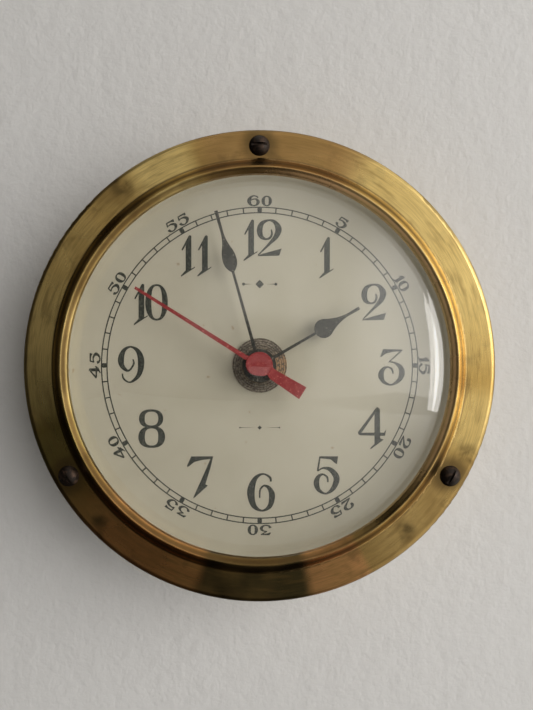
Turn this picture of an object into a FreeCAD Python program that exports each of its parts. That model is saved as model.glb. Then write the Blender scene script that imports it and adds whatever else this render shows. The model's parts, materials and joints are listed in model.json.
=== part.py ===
import FreeCAD, Part
import math
import os
import re

import Sketcher

# A brass-cased ship's clock: a spun drum that screws to a bulkhead, a bezel ring held to it by three
# round-head screws, a domed crystal, a printed dial, three hands, and a battery movement behind the dial.
#
# World frame: the origin is the centre of the back, which lies against the bulkhead at Y = 0. The dial
# faces -Y and twelve o'clock points to +Z. "Depth" is the distance from the bulkhead. Each piece is drawn
# with its own Z pointing out of the dial and its own Y towards twelve, then seated at its depth.

Vector = FreeCAD.Vector
OUT_OF_DIAL = FreeCAD.Rotation(Vector(1, 0, 0), 90)
TURN_AXIS = Vector(0, 0, 1)

# Driving dimensions: millimetres, tooth counts and degrees.
DRIVING = {
    # case
    "bezel_radius": 63.5,
    "drum_radius": 62.9,
    "drum_wall": 1.2,
    "drum_depth": 28.0,
    "landing_radius": 55.4,
    "landing_thickness": 1.5,
    "back_opening_radius": 38.0,
    "case_rounding": 1.0,
    "fixing_circle_radius": 47.0,
    "fixing_hole_radius": 2.2,
    "screw_number": 3,
    # bezel ring
    "flange_face": 30.0,
    "lip_face": 33.6,
    "step_foot_radius": 55.2,
    "step_top_radius": 52.35,
    "lip_radius": 50.7,
    "lip_slope_width": 1.3,
    "lip_slope_height": 1.1,
    "rebate_radius": 54.0,
    "rebate_face": 31.0,
    "rim_rounding": 1.5,
    "cove_rounding": 0.9,
    "lip_rounding": 0.25,
    "rim_fit": 0.1,
    # bezel screws
    "screw_circle_radius": 58.9,
    "screw_head_radius": 2.8,
    "screw_head_height": 1.7,
    "screw_shank_radius": 1.4,
    "screw_clearance_radius": 1.6,
    "screw_slot_width": 0.7,
    "screw_slot_depth": 0.8,
    "bush_thread_radius": 1.42,
    "bush_body_radius": 2.6,
    "bush_height": 3.0,
    # crystal and the rings around it
    "crystal_flange_thickness": 1.2,
    "crystal_foot_radius": 51.6,
    "crystal_thickness": 1.5,
    "dome_rise": 10.0,
    "gasket_radius": 52.2,
    "gasket_thickness": 0.5,
    "retainer_radius": 52.6,
    "retainer_thickness": 0.5,
    "reveal_radius": 52.9,
    # dial
    "dial_face": 23.0,
    "dial_thickness": 0.8,
    "dial_radius": 54.2,
    "dial_hole_radius": 4.1,
    "seat_radius": 50.0,
    "support_thickness": 0.8,
    "support_tube_radius": 55.2,
    "support_rim_radius": 61.4,
    "washer_radius": 7.55,
    "washer_thickness": 0.4,
    "nut_radius": 4.6,
    "nut_height": 1.4,
    "nut_slot_width": 1.0,
    "nut_slot_depth": 0.7,
    "rubber_washer_radius": 11.0,
    # hands
    "hand_thickness": 0.5,
    "collar_height": 0.8,
    "collar_wall": 0.8,
    "hour_hand_depth": 26.2,
    "hour_hand_reach": 31.3,
    "hour_boss_radius": 4.4,
    "hour_pear_reach": 20.2,
    "hour_pear_half_width": 2.6,
    "hour_belly_radius": 2.6,
    "hour_shoulder_radius": 2.6,
    "hour_shoulder_height": 1.56,
    "hour_flank_radius": 14.0,
    "hour_needle_foot": 27.6,
    "minute_hand_depth": 28.2,
    "minute_hand_reach": 43.1,
    "minute_boss_radius": 4.55,
    "minute_pear_reach": 29.4,
    "minute_pear_half_width": 1.9,
    "minute_belly_radius": 4.1,
    "minute_shoulder_radius": 9.0,
    "minute_shoulder_height": 2.9,
    "minute_flank_radius": 12.7,
    "minute_needle_foot": 36.8,
    "stem_half_width": 0.46,
    "stem_neck_half_width": 0.34,
    "needle_half_width": 0.36,
    "hand_tip_half_width": 0.46,
    "second_hand_depth": 30.0,
    "second_hand_reach": 38.9,
    "second_tail_reach": 13.6,
    "second_tail_half_width": 1.85,
    "second_tail_neck_half_width": 1.2,
    "second_hand_half_width": 0.62,
    "second_tip_half_width": 0.38,
    "second_boss_radius": 3.6,
    "second_cap_height": 0.75,
    "second_cap_rounding": 0.15,
    # movement block
    "block_half_width": 28.0,
    "block_wall": 1.2,
    "block_back": 7.0,
    "block_face": 21.4,
    "block_face_thickness": 1.0,
    "block_rounding": 3.0,
    "train_bay_foot": -10.1,
    "battery_bay_head": -10.9,
    "cover_thickness": 1.2,
    "cover_foot": -10.4,
    "cover_boss_reach": 24.4,
    "cover_boss_radius": 2.2,
    "lower_boss_height": -6.8,
    "cover_screw_radius": 0.8,
    "cover_screw_head_radius": 1.6,
    "cover_screw_head_height": 0.9,
    "cover_screw_length": 6.0,
    "peg_radius": 0.9,
    "pivot_depth": 0.6,
    "running_gap": 0.06,
    "thread_radius": 4.0,
    "thread_height": 4.8,
    "bush_flange_radius": 5.2,
    "bush_flange_thickness": 0.8,
    # going train and motion work
    "wheel_thickness": 0.8,
    "wheel_teeth": 60,
    "third_pinion_teeth": 8,
    "centre_teeth": 64,
    "seconds_pinion_teeth": 8,
    "intermediate_pinion_teeth": 10,
    "rotor_pinion_teeth": 12,
    "minute_pinion_teeth": 12,
    "motion_teeth": 36,
    "motion_pinion_teeth": 10,
    "hour_teeth": 40,
    "third_distance": 8.5,
    "third_bearing": -15,
    "intermediate_distance": 8.4,
    "intermediate_bearing": 60,
    "rotor_distance": 7.2,
    "rotor_bearing": 20,
    "motion_distance": 8.4,
    "motion_bearing": 150,
    "knob_bearing": 120,
    "arbor_radius": 0.4,
    "rotor_arbor_radius": 0.3,
    "seconds_arbor_radius": 0.5,
    "minute_pipe_radius": 1.6,
    "hour_pipe_radius": 2.5,
    "magnet_radius": 3.0,
    "rotor_hub_radius": 0.8,
    "knob_radius": 5.5,
    "knob_height": 2.8,
    "knob_back": 2.4,
    "knob_shaft_radius": 1.0,
    "knob_grip_number": 24,
    "knob_grip_radius": 0.45,
    # depths of the wheels' backs, stacked between rear cover and face plate, and heights of what they carry
    "rotor_depth": 9.1,
    "rotor_pinion_height": 1.5,
    "magnet_depth": 10.8,
    "magnet_height": 2.2,
    "rotor_hub_height": 4.4,
    "intermediate_depth": 9.4,
    "intermediate_height": 3.1,
    "seconds_depth": 11.4,
    "seconds_height": 3.0,
    "third_depth": 13.2,
    "third_height": 3.0,
    "pipe_depth": 14.6,
    "pipe_foot_radius": 2.6,
    "clutch_spring_radius": 4.2,
    "clutch_spring_thickness": 0.25,
    "pipe_top": 28.9,
    "centre_depth": 15.2,
    "minute_pinion_depth": 16.8,
    "minute_pinion_height": 1.4,
    "motion_depth": 17.0,
    "motion_height": 2.6,
    "hour_pipe_depth": 18.4,
    "hour_pipe_top": 26.9,
    "hour_wheel_lift": 0.2,
    "knob_pinion_depth": 16.6,
    "knob_pinion_height": 1.4,
    # motor and electrics
    "stator_back": 11.2,
    "stator_thickness": 1.2,
    "stator_hole_radius": 3.4,
    "coil_x": 21.5,
    "coil_foot": 1.0,
    "coil_head": 18.4,
    "stator_foot": -2.0,
    "stator_head": 21.4,
    "stator_right": 25.0,
    "stator_block_reach": 4.76,
    "stator_block_half_height": 5.1,
    "spine_left": 12.66,
    "spine_right": 15.55,
    "upper_peg_x": 14.02,
    "upper_peg_height": 19.9,
    "lower_peg_left": 3.74,
    "lower_peg_rise": 4.08,
    "core_half_width": 1.5,
    "bobbin_half_width": 3.4,
    "bobbin_flange": 1.0,
    "bobbin_tube_wall": 0.5,
    "winding_radius": 3.1,
    "board_back": 16.2,
    "board_thickness": 1.0,
    "board_left": 15.82,
    "board_right": 26.32,
    "chip_radius": 3.4,
    "chip_height": 1.0,
    "can_radius": 1.5,
    "can_length": 7.1,
    "can_foot": 8.46,
    "battery_radius": 7.1,
    "battery_length": 49.0,
    "battery_height": -18.6,
    "battery_depth": 13.1,
    "battery_button_radius": 2.75,
    "battery_button_height": 1.0,
    "contact_thickness": 0.4,
    "contact_half_width": 4.0,
}

# Times shown at rest, as degrees clockwise from twelve.
HOUR_HAND_ANGLE = 60.0
MINUTE_HAND_ANGLE = 344.3
SECOND_HAND_ANGLE = 302.2

# Tooth form in modules: how far a tooth stands out of and goes into the pitch circle, and half its width.
ADDENDUM = 0.9
DEDENDUM = 1.25
TOOTH_ROOT = 1.35
HALF_TOOTH = 0.62
HALF_TOOTH_TIP = 0.3

# Two lengths nearer than this count as the same.
SAME = 1e-4

doc = FreeCAD.newDocument("ShipsClock")
sheet = doc.addObject("Spreadsheet::Sheet", "Sizes")
pieces = []


def fill_sheet():
    """Write each driving dimension's name, and its value under that name as alias."""
    for row, (name, size) in enumerate(DRIVING.items(), start=1):
        sheet.set(f"A{row}", name)
        sheet.set(f"B{row}", str(size))
        sheet.setAlias(f"B{row}", name)
    doc.recompute()


# ---------------------------------------------------------------- expressions and sketches


def bound(text):
    """The expression with every driving dimension pointed at the sheet."""
    return re.sub(r"[a-z_]+", lambda word: prefixed(word.group()), text)


def prefixed(word):
    return f"Sizes.{word}" if word in DRIVING else word


def value(text):
    return float(sheet.evalExpression(bound(text)))


def start_piece(name):
    """A new body, listed for export under its own name."""
    body = doc.addObject("PartDesign::Body", name)
    body.Label = name
    pieces.append(body)
    return body


def seat(piece, depth, right="0", up="0", clockwise=0):
    """Stand the piece out of the dial at a depth, its origin right of and above the clock's axis."""
    turn = FreeCAD.Rotation(TURN_AXIS, -clockwise)
    spot = Vector(value(right), -value(depth), value(up))
    piece.Placement = FreeCAD.Placement(spot, OUT_OF_DIAL.multiply(turn))
    piece.setExpression(".Placement.Base.x", bound(right))
    piece.setExpression(".Placement.Base.y", bound(f"-({depth})"))
    piece.setExpression(".Placement.Base.z", bound(up))


def origin_part(body, role):
    return next(item for item in body.Origin.OriginFeatures if item.Role == role)


def sketch_on(body, name, plane="XY_Plane", lift="0", aside="0", turn=0):
    """An empty sketch on one of the body's own planes, lifted off it, shifted aside and turned on it."""
    sketch = body.newObject("Sketcher::SketchObject", f"{body.Name}_{name}")
    sketch.AttachmentSupport = [(origin_part(body, plane), "")]
    sketch.MapMode = "FlatFace"
    spot = Vector(value(aside), 0, value(lift))
    sketch.AttachmentOffset = FreeCAD.Placement(spot, FreeCAD.Rotation(TURN_AXIS, turn))
    sketch.setExpression(".AttachmentOffset.Base.x", bound(aside))
    sketch.setExpression(".AttachmentOffset.Base.z", bound(lift))
    return sketch


def drive(sketch, constraint, text):
    """Add a dimensional constraint whose size the sheet drives."""
    number = sketch.addConstraint(Sketcher.Constraint(*constraint, value(text)))
    sketch.setExpression(f"Constraints[{number}]", bound(text))


def pin_point(sketch, curve, end, x, y):
    """Fix one end of a curve at (x, y); a plain "0" puts it on the axis."""
    for kind, axis, text in (("DistanceX", -2, x), ("DistanceY", -1, y)):
        if text == "0":
            sketch.addConstraint(Sketcher.Constraint("PointOnObject", curve, end, axis))
        else:
            drive(sketch, (kind, -1, 1, curve, end), text)


def arc_between(start, end, radius, side):
    """The short arc between two points, its centre left (+1) or right (-1) of the way from start to end."""
    chord = end - start
    reach = math.sqrt(radius**2 - (chord.Length / 2) ** 2)
    left = Vector(-chord.y, chord.x, 0).normalize()
    centre = (start + end) * 0.5 + left * (side * reach)
    first, last = (start, end) if side > 0 else (end, start)
    angles = [math.atan2(point.y - centre.y, point.x - centre.x) for point in (first, last)]
    return Part.ArcOfCircle(Part.Circle(centre, TURN_AXIS, radius), *angles)


def outline(sketch, points):
    """A closed outline. A point is (x, y), or (x, y, radius, side) where an arc leads to the next point."""
    spots = [Vector(value(point[0]), value(point[1]), 0) for point in points]
    curves = []
    for index, point in enumerate(points):
        start = spots[index]
        end = spots[(index + 1) % len(spots)]
        if len(point) == 2:
            curve = sketch.addGeometry(Part.LineSegment(start, end), False)
            curves.append((curve, 1, 2))
        else:
            radius, side = point[2:]
            curve = sketch.addGeometry(arc_between(start, end, value(radius), side), False)
            drive(sketch, ("Radius", curve), radius)
            curves.append((curve, 1, 2) if side > 0 else (curve, 2, 1))
    for index, (curve, _, last) in enumerate(curves):
        following, first, _ = curves[(index + 1) % len(curves)]
        sketch.addConstraint(Sketcher.Constraint("Coincident", curve, last, following, first))
    for (curve, first, _), point in zip(curves, points):
        pin_point(sketch, curve, first, point[0], point[1])


def circle(sketch, radius, x="0", y="0"):
    centre = Vector(value(x), value(y), 0)
    curve = sketch.addGeometry(Part.Circle(centre, TURN_AXIS, value(radius)), False)
    drive(sketch, ("Radius", curve), radius)
    if x == "0" and y == "0":
        sketch.addConstraint(Sketcher.Constraint("Coincident", curve, 3, -1, 1))
    else:
        pin_point(sketch, curve, 3, x, y)


def rectangle(sketch, left, bottom, right, top):
    outline(sketch, [(left, bottom), (right, bottom), (right, top), (left, top)])


# ---------------------------------------------------------------- features


def pad(body, sketch, height):
    """Grow the sketch by a height towards the body's +Z."""
    feature = body.newObject("PartDesign::Pad", f"{sketch.Name}_pad")
    feature.Profile = sketch
    feature.setExpression("Length", bound(height))
    doc.recompute()
    return feature


def pocket(body, sketch, depth):
    """Cut the sketch downwards, towards the body's -Z, and make sure that it removed something."""
    before = body.Shape.Volume
    feature = body.newObject("PartDesign::Pocket", f"{sketch.Name}_pocket")
    feature.Profile = sketch
    feature.setExpression("Length", bound(depth))
    doc.recompute()
    if not body.Shape.Volume < before:
        raise RuntimeError(f"{feature.Name} removed nothing")
    return feature


def revolve(body, sketch):
    """Turn the sketch right round its own vertical axis."""
    feature = body.newObject("PartDesign::Revolution", f"{sketch.Name}_turned")
    feature.Profile = sketch
    feature.ReferenceAxis = (sketch, ["V_Axis"])
    feature.Angle = 360
    doc.recompute()
    return feature


def repeat_around(body, features, number):
    """Repeat features evenly around the body's Z axis."""
    feature = body.newObject("PartDesign::PolarPattern", f"{features[0].Name}_around")
    feature.Originals = features
    feature.Axis = (origin_part(body, "Z_Axis"), [""])
    feature.Angle = 360
    feature.setExpression("Occurrences", bound(number))
    body.Tip = feature
    doc.recompute()


def ring_edge(shape, radius, height):
    """The name of the circular edge of this radius and height."""
    for number, edge in enumerate(shape.Edges, start=1):
        curve = edge.Curve
        if not isinstance(curve, Part.Circle):
            continue
        if abs(curve.Radius - value(radius)) < SAME and abs(curve.Center.z - value(height)) < SAME:
            return f"Edge{number}"
    raise RuntimeError(f"no circular edge of radius {radius} at height {height}")


def round_ring(body, radius, height, rounding):
    """Round the circular edge of this radius and height."""
    base = body.Tip
    feature = body.newObject("PartDesign::Fillet", f"{body.Name}_rounding")
    feature.Base = (base, [ring_edge(base.Shape, radius, height)])
    feature.setExpression("Radius", bound(rounding))
    doc.recompute()


def turned_piece(name, points, depth):
    """A piece turned about the clock's axis from an outline of (radius, height) points."""
    body = start_piece(name)
    sketch = sketch_on(body, "profile", "XZ_Plane")
    outline(sketch, points)
    revolve(body, sketch)
    seat(body, depth)
    return body


def ring_piece(name, inner, outer, height, depth):
    """A plain flat ring about the clock's axis."""
    points = [(inner, "0"), (outer, "0"), (outer, height), (inner, height)]
    return turned_piece(name, points, depth)


def rod_piece(name, radius, height, depth, right="0", up="0"):
    """A plain round rod standing out of the dial."""
    body = start_piece(name)
    sketch = sketch_on(body, "section")
    circle(sketch, radius)
    pad(body, sketch, height)
    seat(body, depth, right, up)
    return body


def block_piece(name, corners, height, depth):
    """A flat block between two opposite corners (left, bottom, right, top)."""
    body = start_piece(name)
    sketch = sketch_on(body, "section")
    rectangle(sketch, *corners)
    pad(body, sketch, height)
    seat(body, depth)
    return body


def drill(body, name, radius, top, depth, spots=(("0", "0"),)):
    """Drill one round hole at each spot, downwards from a height."""
    sketch = sketch_on(body, name, lift=top)
    for x, y in spots:
        circle(sketch, radius, x, y)
    return pocket(body, sketch, depth)


def drill_around(body, name, radius, reach, top, depth):
    """Drill one round hole above the centre for each bezel screw."""
    hole = drill(body, name, radius, top, depth, [("0", reach)])
    repeat_around(body, [hole], "screw_number")


# ---------------------------------------------------------------- case


def make_case_drum():
    landing_back = "drum_depth - landing_thickness"
    inside = "drum_radius - drum_wall"
    points = [
        ("drum_radius", "0"),
        ("drum_radius", "drum_depth"),
        ("landing_radius", "drum_depth"),
        ("landing_radius", landing_back),
        (inside, landing_back),
        (inside, "drum_wall"),
        ("back_opening_radius", "drum_wall"),
        ("back_opening_radius", "0"),
    ]
    body = turned_piece("case_drum", points, "0")
    round_ring(body, "drum_radius", "0", "case_rounding")
    drill_around(body, "screw_holes", "screw_clearance_radius", "screw_circle_radius",
                 "drum_depth", "landing_thickness")
    drill_around(body, "fixing_holes", "fixing_hole_radius", "fixing_circle_radius",
                 "drum_wall", "drum_wall")


def make_screw_bushes():
    """Threaded bushes behind the drum's landing, one for each bezel screw."""
    body = start_piece("screw_bushes")
    sketch = sketch_on(body, "section")
    circle(sketch, "bush_body_radius", "0", "screw_circle_radius")
    circle(sketch, "bush_thread_radius", "0", "screw_circle_radius")
    bush = pad(body, sketch, "bush_height")
    repeat_around(body, [bush], "screw_number")
    seat(body, "drum_depth - landing_thickness - bush_height")


def make_bezel_ring():
    face = "flange_face - drum_depth"
    top = "lip_face - drum_depth"
    rebate = "rebate_face - drum_depth"
    underside = "support_thickness"
    points = [
        ("support_rim_radius + rim_fit", "0"),
        ("bezel_radius", "0"),
        ("bezel_radius", face),
        ("step_foot_radius", face),
        ("step_top_radius", top),
        ("lip_radius + lip_slope_width", top),
        ("lip_radius", f"{top} - lip_slope_height"),
        ("lip_radius", rebate),
        ("rebate_radius", rebate),
        ("rebate_radius", underside),
        ("support_rim_radius + rim_fit", underside),
    ]
    body = turned_piece("bezel_ring", points, "drum_depth")
    round_ring(body, "bezel_radius", face, "rim_rounding")
    round_ring(body, "step_foot_radius", face, "cove_rounding")
    round_ring(body, "step_top_radius", top, "lip_rounding")
    round_ring(body, "lip_radius + lip_slope_width", top, "lip_rounding")
    drill_around(body, "screw_holes", "screw_clearance_radius", "screw_circle_radius",
                 face, "flange_face - drum_depth")


def make_bezel_screws():
    """Round-head slotted screws through bezel, dial support and landing into the bushes."""
    length = "flange_face - drum_depth + landing_thickness + bush_height"
    dome = "(screw_head_radius^2 + screw_head_height^2) / (2 * screw_head_height)"
    body = start_piece("bezel_screws")
    profile = sketch_on(body, "profile", "YZ_Plane", aside="screw_circle_radius")
    outline(profile, [
        ("0", f"-({length})"),
        ("screw_shank_radius", f"-({length})"),
        ("screw_shank_radius", "0"),
        ("screw_head_radius", "0", dome, 1),
        ("0", "screw_head_height"),
    ])
    screw = revolve(body, profile)
    slot_sketch = sketch_on(body, "slot", lift="screw_head_height")
    rectangle(slot_sketch, "-screw_head_radius", "screw_circle_radius - screw_slot_width / 2",
              "screw_head_radius", "screw_circle_radius + screw_slot_width / 2")
    slot = pocket(body, slot_sketch, "screw_slot_depth")
    repeat_around(body, [screw, slot], "screw_number")
    seat(body, "flange_face")


# ---------------------------------------------------------------- crystal


def dome_radius(reach, rise):
    """The radius of a dome that rises by "rise" over a circle of radius "reach"."""
    return f"(({reach})^2 + ({rise})^2) / (2 * ({rise}))"


def make_crystal():
    seat_depth = "drum_depth + support_thickness + retainer_thickness"
    foot = "crystal_flange_thickness"
    inner_rise = "crystal_flange_thickness + dome_rise - crystal_thickness"
    inner_reach = "crystal_foot_radius - crystal_thickness"
    flange_radius = "rebate_radius"
    turned_piece("crystal", [
        ("0", inner_rise),
        ("0", f"{foot} + dome_rise", dome_radius("crystal_foot_radius", "dome_rise"), -1),
        ("crystal_foot_radius", foot),
        (flange_radius, foot),
        (flange_radius, "0"),
        (inner_reach, "0", dome_radius(inner_reach, inner_rise), 1),
    ], seat_depth)


def make_crystal_rings():
    """The gasket over the crystal's flange, the retaining ring under it and the reveal ring to the dial."""
    under_crystal = "drum_depth + support_thickness"
    ring_piece("crystal_gasket", "gasket_radius", "rebate_radius", "gasket_thickness",
               "rebate_face - gasket_thickness")
    ring_piece("crystal_retaining_ring", "retainer_radius", "rebate_radius", "retainer_thickness",
               under_crystal)
    ring_piece("reveal_ring", "reveal_radius", "dial_radius", f"{under_crystal} - dial_face", "dial_face")


# ---------------------------------------------------------------- dial


def make_dial_support_ring():
    """A stepped ring clamped between drum and bezel, with the seat that the dial rests on."""
    foot = "(dial_face - dial_thickness - support_thickness)"
    rim = f"drum_depth - {foot}"
    inside = "support_tube_radius - support_thickness"
    body = turned_piece("dial_support_ring", [
        ("seat_radius", "0"),
        ("support_tube_radius", "0"),
        ("support_tube_radius", rim),
        ("support_rim_radius", rim),
        ("support_rim_radius", f"{rim} + support_thickness"),
        (inside, f"{rim} + support_thickness"),
        (inside, "support_thickness"),
        ("seat_radius", "support_thickness"),
    ], foot)
    drill_around(body, "screw_holes", "screw_clearance_radius", "screw_circle_radius",
                 f"{rim} + support_thickness", "support_thickness")


def make_dial():
    ring_piece("dial_plate", "dial_hole_radius", "dial_radius", "dial_thickness",
               "dial_face - dial_thickness")
    ring_piece("centre_washer", "dial_hole_radius", "washer_radius", "washer_thickness", "dial_face")
    ring_piece("rubber_washer", "dial_hole_radius", "rubber_washer_radius",
               "dial_face - dial_thickness - block_face", "block_face")


def make_dial_nut():
    """The thin round nut that clamps movement and dial together, with two slots for a key."""
    body = ring_piece("dial_nut", "thread_radius", "nut_radius", "nut_height", "dial_face + washer_thickness")
    slot = sketch_on(body, "slot", lift="nut_height")
    rectangle(slot, "-nut_radius", "-nut_slot_width / 2", "nut_radius", "nut_slot_width / 2")
    pocket(body, slot, "nut_slot_depth")


# ---------------------------------------------------------------- hands


def make_collar(body, bore, drop):
    """The short collar under a hand that grips its pipe."""
    sketch = sketch_on(body, "collar", lift=f"-({drop})")
    circle(sketch, f"{bore} + collar_wall")
    circle(sketch, bore)
    return pad(body, sketch, drop)


def make_pear_hand(kind, clockwise, bore):
    """A hand with a round boss, a stem, a pear-shaped blade that draws out to a needle, and a blunt tip.

    The pear is widest at its reach. An arc leads down from there to the stem (the belly), another up to
    the shoulder, and a hollow one on from the shoulder to the needle (the flank).
    """
    widest, half_width = f"{kind}_pear_reach", f"{kind}_pear_half_width"
    belly, shoulder, flank = (f"{kind}_{part}_radius" for part in ("belly", "shoulder", "flank"))
    rise, needle_foot, reach = f"{kind}_shoulder_height", f"{kind}_needle_foot", f"{kind}_hand_reach"
    belly_inset = f"({belly} - {half_width} + stem_neck_half_width)"
    stem_head = f"{widest} - sqrt({belly}^2 - {belly_inset}^2)"
    shoulder_x = f"({half_width} - {shoulder} + sqrt({shoulder}^2 - {rise}^2))"
    shoulder_y = f"{widest} + {rise}"
    body = start_piece(f"{kind}_hand")
    make_collar(body, bore, "collar_height")
    blade = sketch_on(body, "blade")
    outline(blade, [
        ("-stem_half_width", "0"),
        ("stem_half_width", "0"),
        ("stem_neck_half_width", stem_head, belly, 1),
        (half_width, widest, shoulder, 1),
        (shoulder_x, shoulder_y, flank, -1),
        ("needle_half_width", needle_foot),
        ("hand_tip_half_width", reach),
        ("-hand_tip_half_width", reach),
        ("-needle_half_width", needle_foot, flank, -1),
        (f"-{shoulder_x}", shoulder_y, shoulder, 1),
        (f"-{half_width}", widest, belly, 1),
        ("-stem_neck_half_width", stem_head),
    ])
    pad(body, blade, "hand_thickness")
    disc = sketch_on(body, "boss")
    circle(disc, f"{kind}_boss_radius")
    pad(body, disc, "hand_thickness")
    drill(body, "bore", bore, "hand_thickness", "hand_thickness")
    seat(body, f"{kind}_hand_depth", clockwise=clockwise)


def make_hour_hand():
    make_pear_hand("hour", HOUR_HAND_ANGLE, "hour_pipe_radius")


def make_minute_hand():
    make_pear_hand("minute", MINUTE_HAND_ANGLE, "minute_pipe_radius")


def make_second_hand():
    """A tapering pointer with a flared tail and a round cap."""
    body = start_piece("second_hand")
    make_collar(body, "seconds_arbor_radius", "collar_height")
    blade = sketch_on(body, "blade")
    outline(blade, [
        ("-second_tail_half_width", "-second_tail_reach"),
        ("second_tail_half_width", "-second_tail_reach"),
        ("second_tail_neck_half_width", "0"),
        ("second_hand_half_width", "second_boss_radius"),
        ("second_tip_half_width", "second_hand_reach"),
        ("-second_tip_half_width", "second_hand_reach"),
        ("-second_hand_half_width", "second_boss_radius"),
        ("-second_tail_neck_half_width", "0"),
    ])
    pad(body, blade, "hand_thickness")
    cap = sketch_on(body, "cap")
    circle(cap, "second_boss_radius")
    pad(body, cap, "second_cap_height")
    round_ring(body, "second_boss_radius", "second_cap_height", "second_cap_rounding")
    seat(body, "second_hand_depth", clockwise=SECOND_HAND_ANGLE)


# ---------------------------------------------------------------- wheels


def add_teeth(body, name, teeth, module, thickness, lift, phase):
    """A toothed disc with radial flanks below the pitch circle, one tooth at the phase angle."""
    disc = sketch_on(body, f"{name}_disc", lift=lift)
    circle(disc, f"{module} * ({teeth} / 2 - {DEDENDUM})")
    pad(body, disc, thickness)
    root = f"{module} * ({teeth} / 2 - {TOOTH_ROOT})"
    root_width = f"{root} * {2 * HALF_TOOTH} / {teeth}"
    pitch = f"{module} * {teeth} / 2"
    tip = f"{module} * ({teeth} / 2 + {ADDENDUM})"
    tooth = sketch_on(body, f"{name}_tooth", lift=lift, turn=phase)
    outline(tooth, [
        (root, f"-{root_width}"),
        (pitch, f"-{module} * {HALF_TOOTH}"),
        (tip, f"-{module} * {HALF_TOOTH_TIP}"),
        (tip, f"{module} * {HALF_TOOTH_TIP}"),
        (pitch, f"{module} * {HALF_TOOTH}"),
        (root, root_width),
    ])
    repeat_around(body, [pad(body, tooth, thickness)], teeth)


def mesh_phase(driver_phase, driver_teeth, teeth, bearing):
    """The phase of a wheel that meshes with another, which sees it in the direction of the bearing."""
    ratio = value(driver_teeth) / value(teeth)
    return bearing + 180 - (driver_phase - bearing) * ratio + 180 / value(teeth)


# Modules that make each meshing pair span its centre distance.
CENTRE_MODULE = "(2 * third_distance / (third_pinion_teeth + centre_teeth))"
THIRD_MODULE = "(2 * third_distance / (seconds_pinion_teeth + wheel_teeth))"
SECONDS_MODULE = "(2 * intermediate_distance / (intermediate_pinion_teeth + wheel_teeth))"
INTERMEDIATE_MODULE = "(2 * rotor_distance / (rotor_pinion_teeth + wheel_teeth))"
MOTION_MODULE = "(2 * motion_distance / (minute_pinion_teeth + motion_teeth))"
HOUR_MODULE = "(2 * motion_distance / (motion_pinion_teeth + hour_teeth))"

# Where the arbors stand, right of and above the clock's axis.
THIRD_SPOT = ("third_distance * cos(third_bearing)", "third_distance * sin(third_bearing)")
INTERMEDIATE_SPOT = (
    "intermediate_distance * cos(intermediate_bearing)",
    "intermediate_distance * sin(intermediate_bearing)",
)
ROTOR_SPOT = (
    f"{INTERMEDIATE_SPOT[0]} + rotor_distance * cos(rotor_bearing)",
    f"{INTERMEDIATE_SPOT[1]} + rotor_distance * sin(rotor_bearing)",
)
MOTION_SPOT = ("motion_distance * cos(motion_bearing)", "motion_distance * sin(motion_bearing)")
KNOB_SPOT = (
    f"{MOTION_SPOT[0]} + motion_distance * cos(knob_bearing)",
    f"{MOTION_SPOT[1]} + motion_distance * sin(knob_bearing)",
)


def going_phase(driver_teeth, teeth, bearing):
    """The phase of a wheel that meshes with one whose own phase is 0."""
    return mesh_phase(0, driver_teeth, teeth, value(bearing))


def pivoted_piece(name, radius, spot):
    """A plain steel arbor that runs from the rear cover's pivot hole to the face plate's."""
    back = "block_back - pivot_depth"
    length = f"block_face - block_face_thickness + pivot_depth - ({back})"
    rod_piece(name, radius, length, back, *spot)


def make_rotor():
    """The motor's rotor: a moulded pinion and hub, with the ring magnet that it carries."""
    body = start_piece("rotor_pinion")
    phase = going_phase("wheel_teeth", "rotor_pinion_teeth", "rotor_bearing")
    add_teeth(body, "pinion", "rotor_pinion_teeth", INTERMEDIATE_MODULE, "rotor_pinion_height", "0", phase)
    hub = sketch_on(body, "hub")
    circle(hub, "rotor_hub_radius")
    pad(body, hub, "rotor_hub_height")
    drill(body, "bore", "rotor_arbor_radius", "rotor_hub_height", "rotor_hub_height")
    seat(body, "rotor_depth", *ROTOR_SPOT)
    magnet = start_piece("rotor_magnet")
    section = sketch_on(magnet, "section")
    circle(section, "magnet_radius")
    circle(section, "rotor_hub_radius")
    pad(magnet, section, "magnet_height")
    seat(magnet, "magnet_depth", *ROTOR_SPOT)
    pivoted_piece("rotor_arbor", "rotor_arbor_radius", ROTOR_SPOT)


def make_intermediate_wheel():
    """Driven by the rotor's pinion, and drives the seconds wheel."""
    body = start_piece("intermediate_wheel")
    phase = going_phase("wheel_teeth", "intermediate_pinion_teeth", "intermediate_bearing")
    add_teeth(body, "wheel", "wheel_teeth", INTERMEDIATE_MODULE, "wheel_thickness", "0", 0)
    add_teeth(body, "pinion", "intermediate_pinion_teeth", SECONDS_MODULE, "intermediate_height", "0", phase)
    drill(body, "bore", "arbor_radius", "intermediate_height", "intermediate_height")
    seat(body, "intermediate_depth", *INTERMEDIATE_SPOT)
    pivoted_piece("intermediate_arbor", "arbor_radius", INTERMEDIATE_SPOT)


def make_seconds_wheel():
    """Driven by the intermediate pinion; its own pinion drives the third wheel, its arbor the second hand."""
    body = start_piece("seconds_wheel")
    add_teeth(body, "wheel", "wheel_teeth", SECONDS_MODULE, "wheel_thickness", "0", 0)
    add_teeth(body, "pinion", "seconds_pinion_teeth", THIRD_MODULE, "seconds_height", "0", 0)
    drill(body, "bore", "seconds_arbor_radius", "seconds_height", "seconds_height")
    seat(body, "seconds_depth")
    back = "block_back - pivot_depth"
    rod_piece("seconds_arbor", "seconds_arbor_radius", f"second_hand_depth - ({back})", back)


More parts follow.
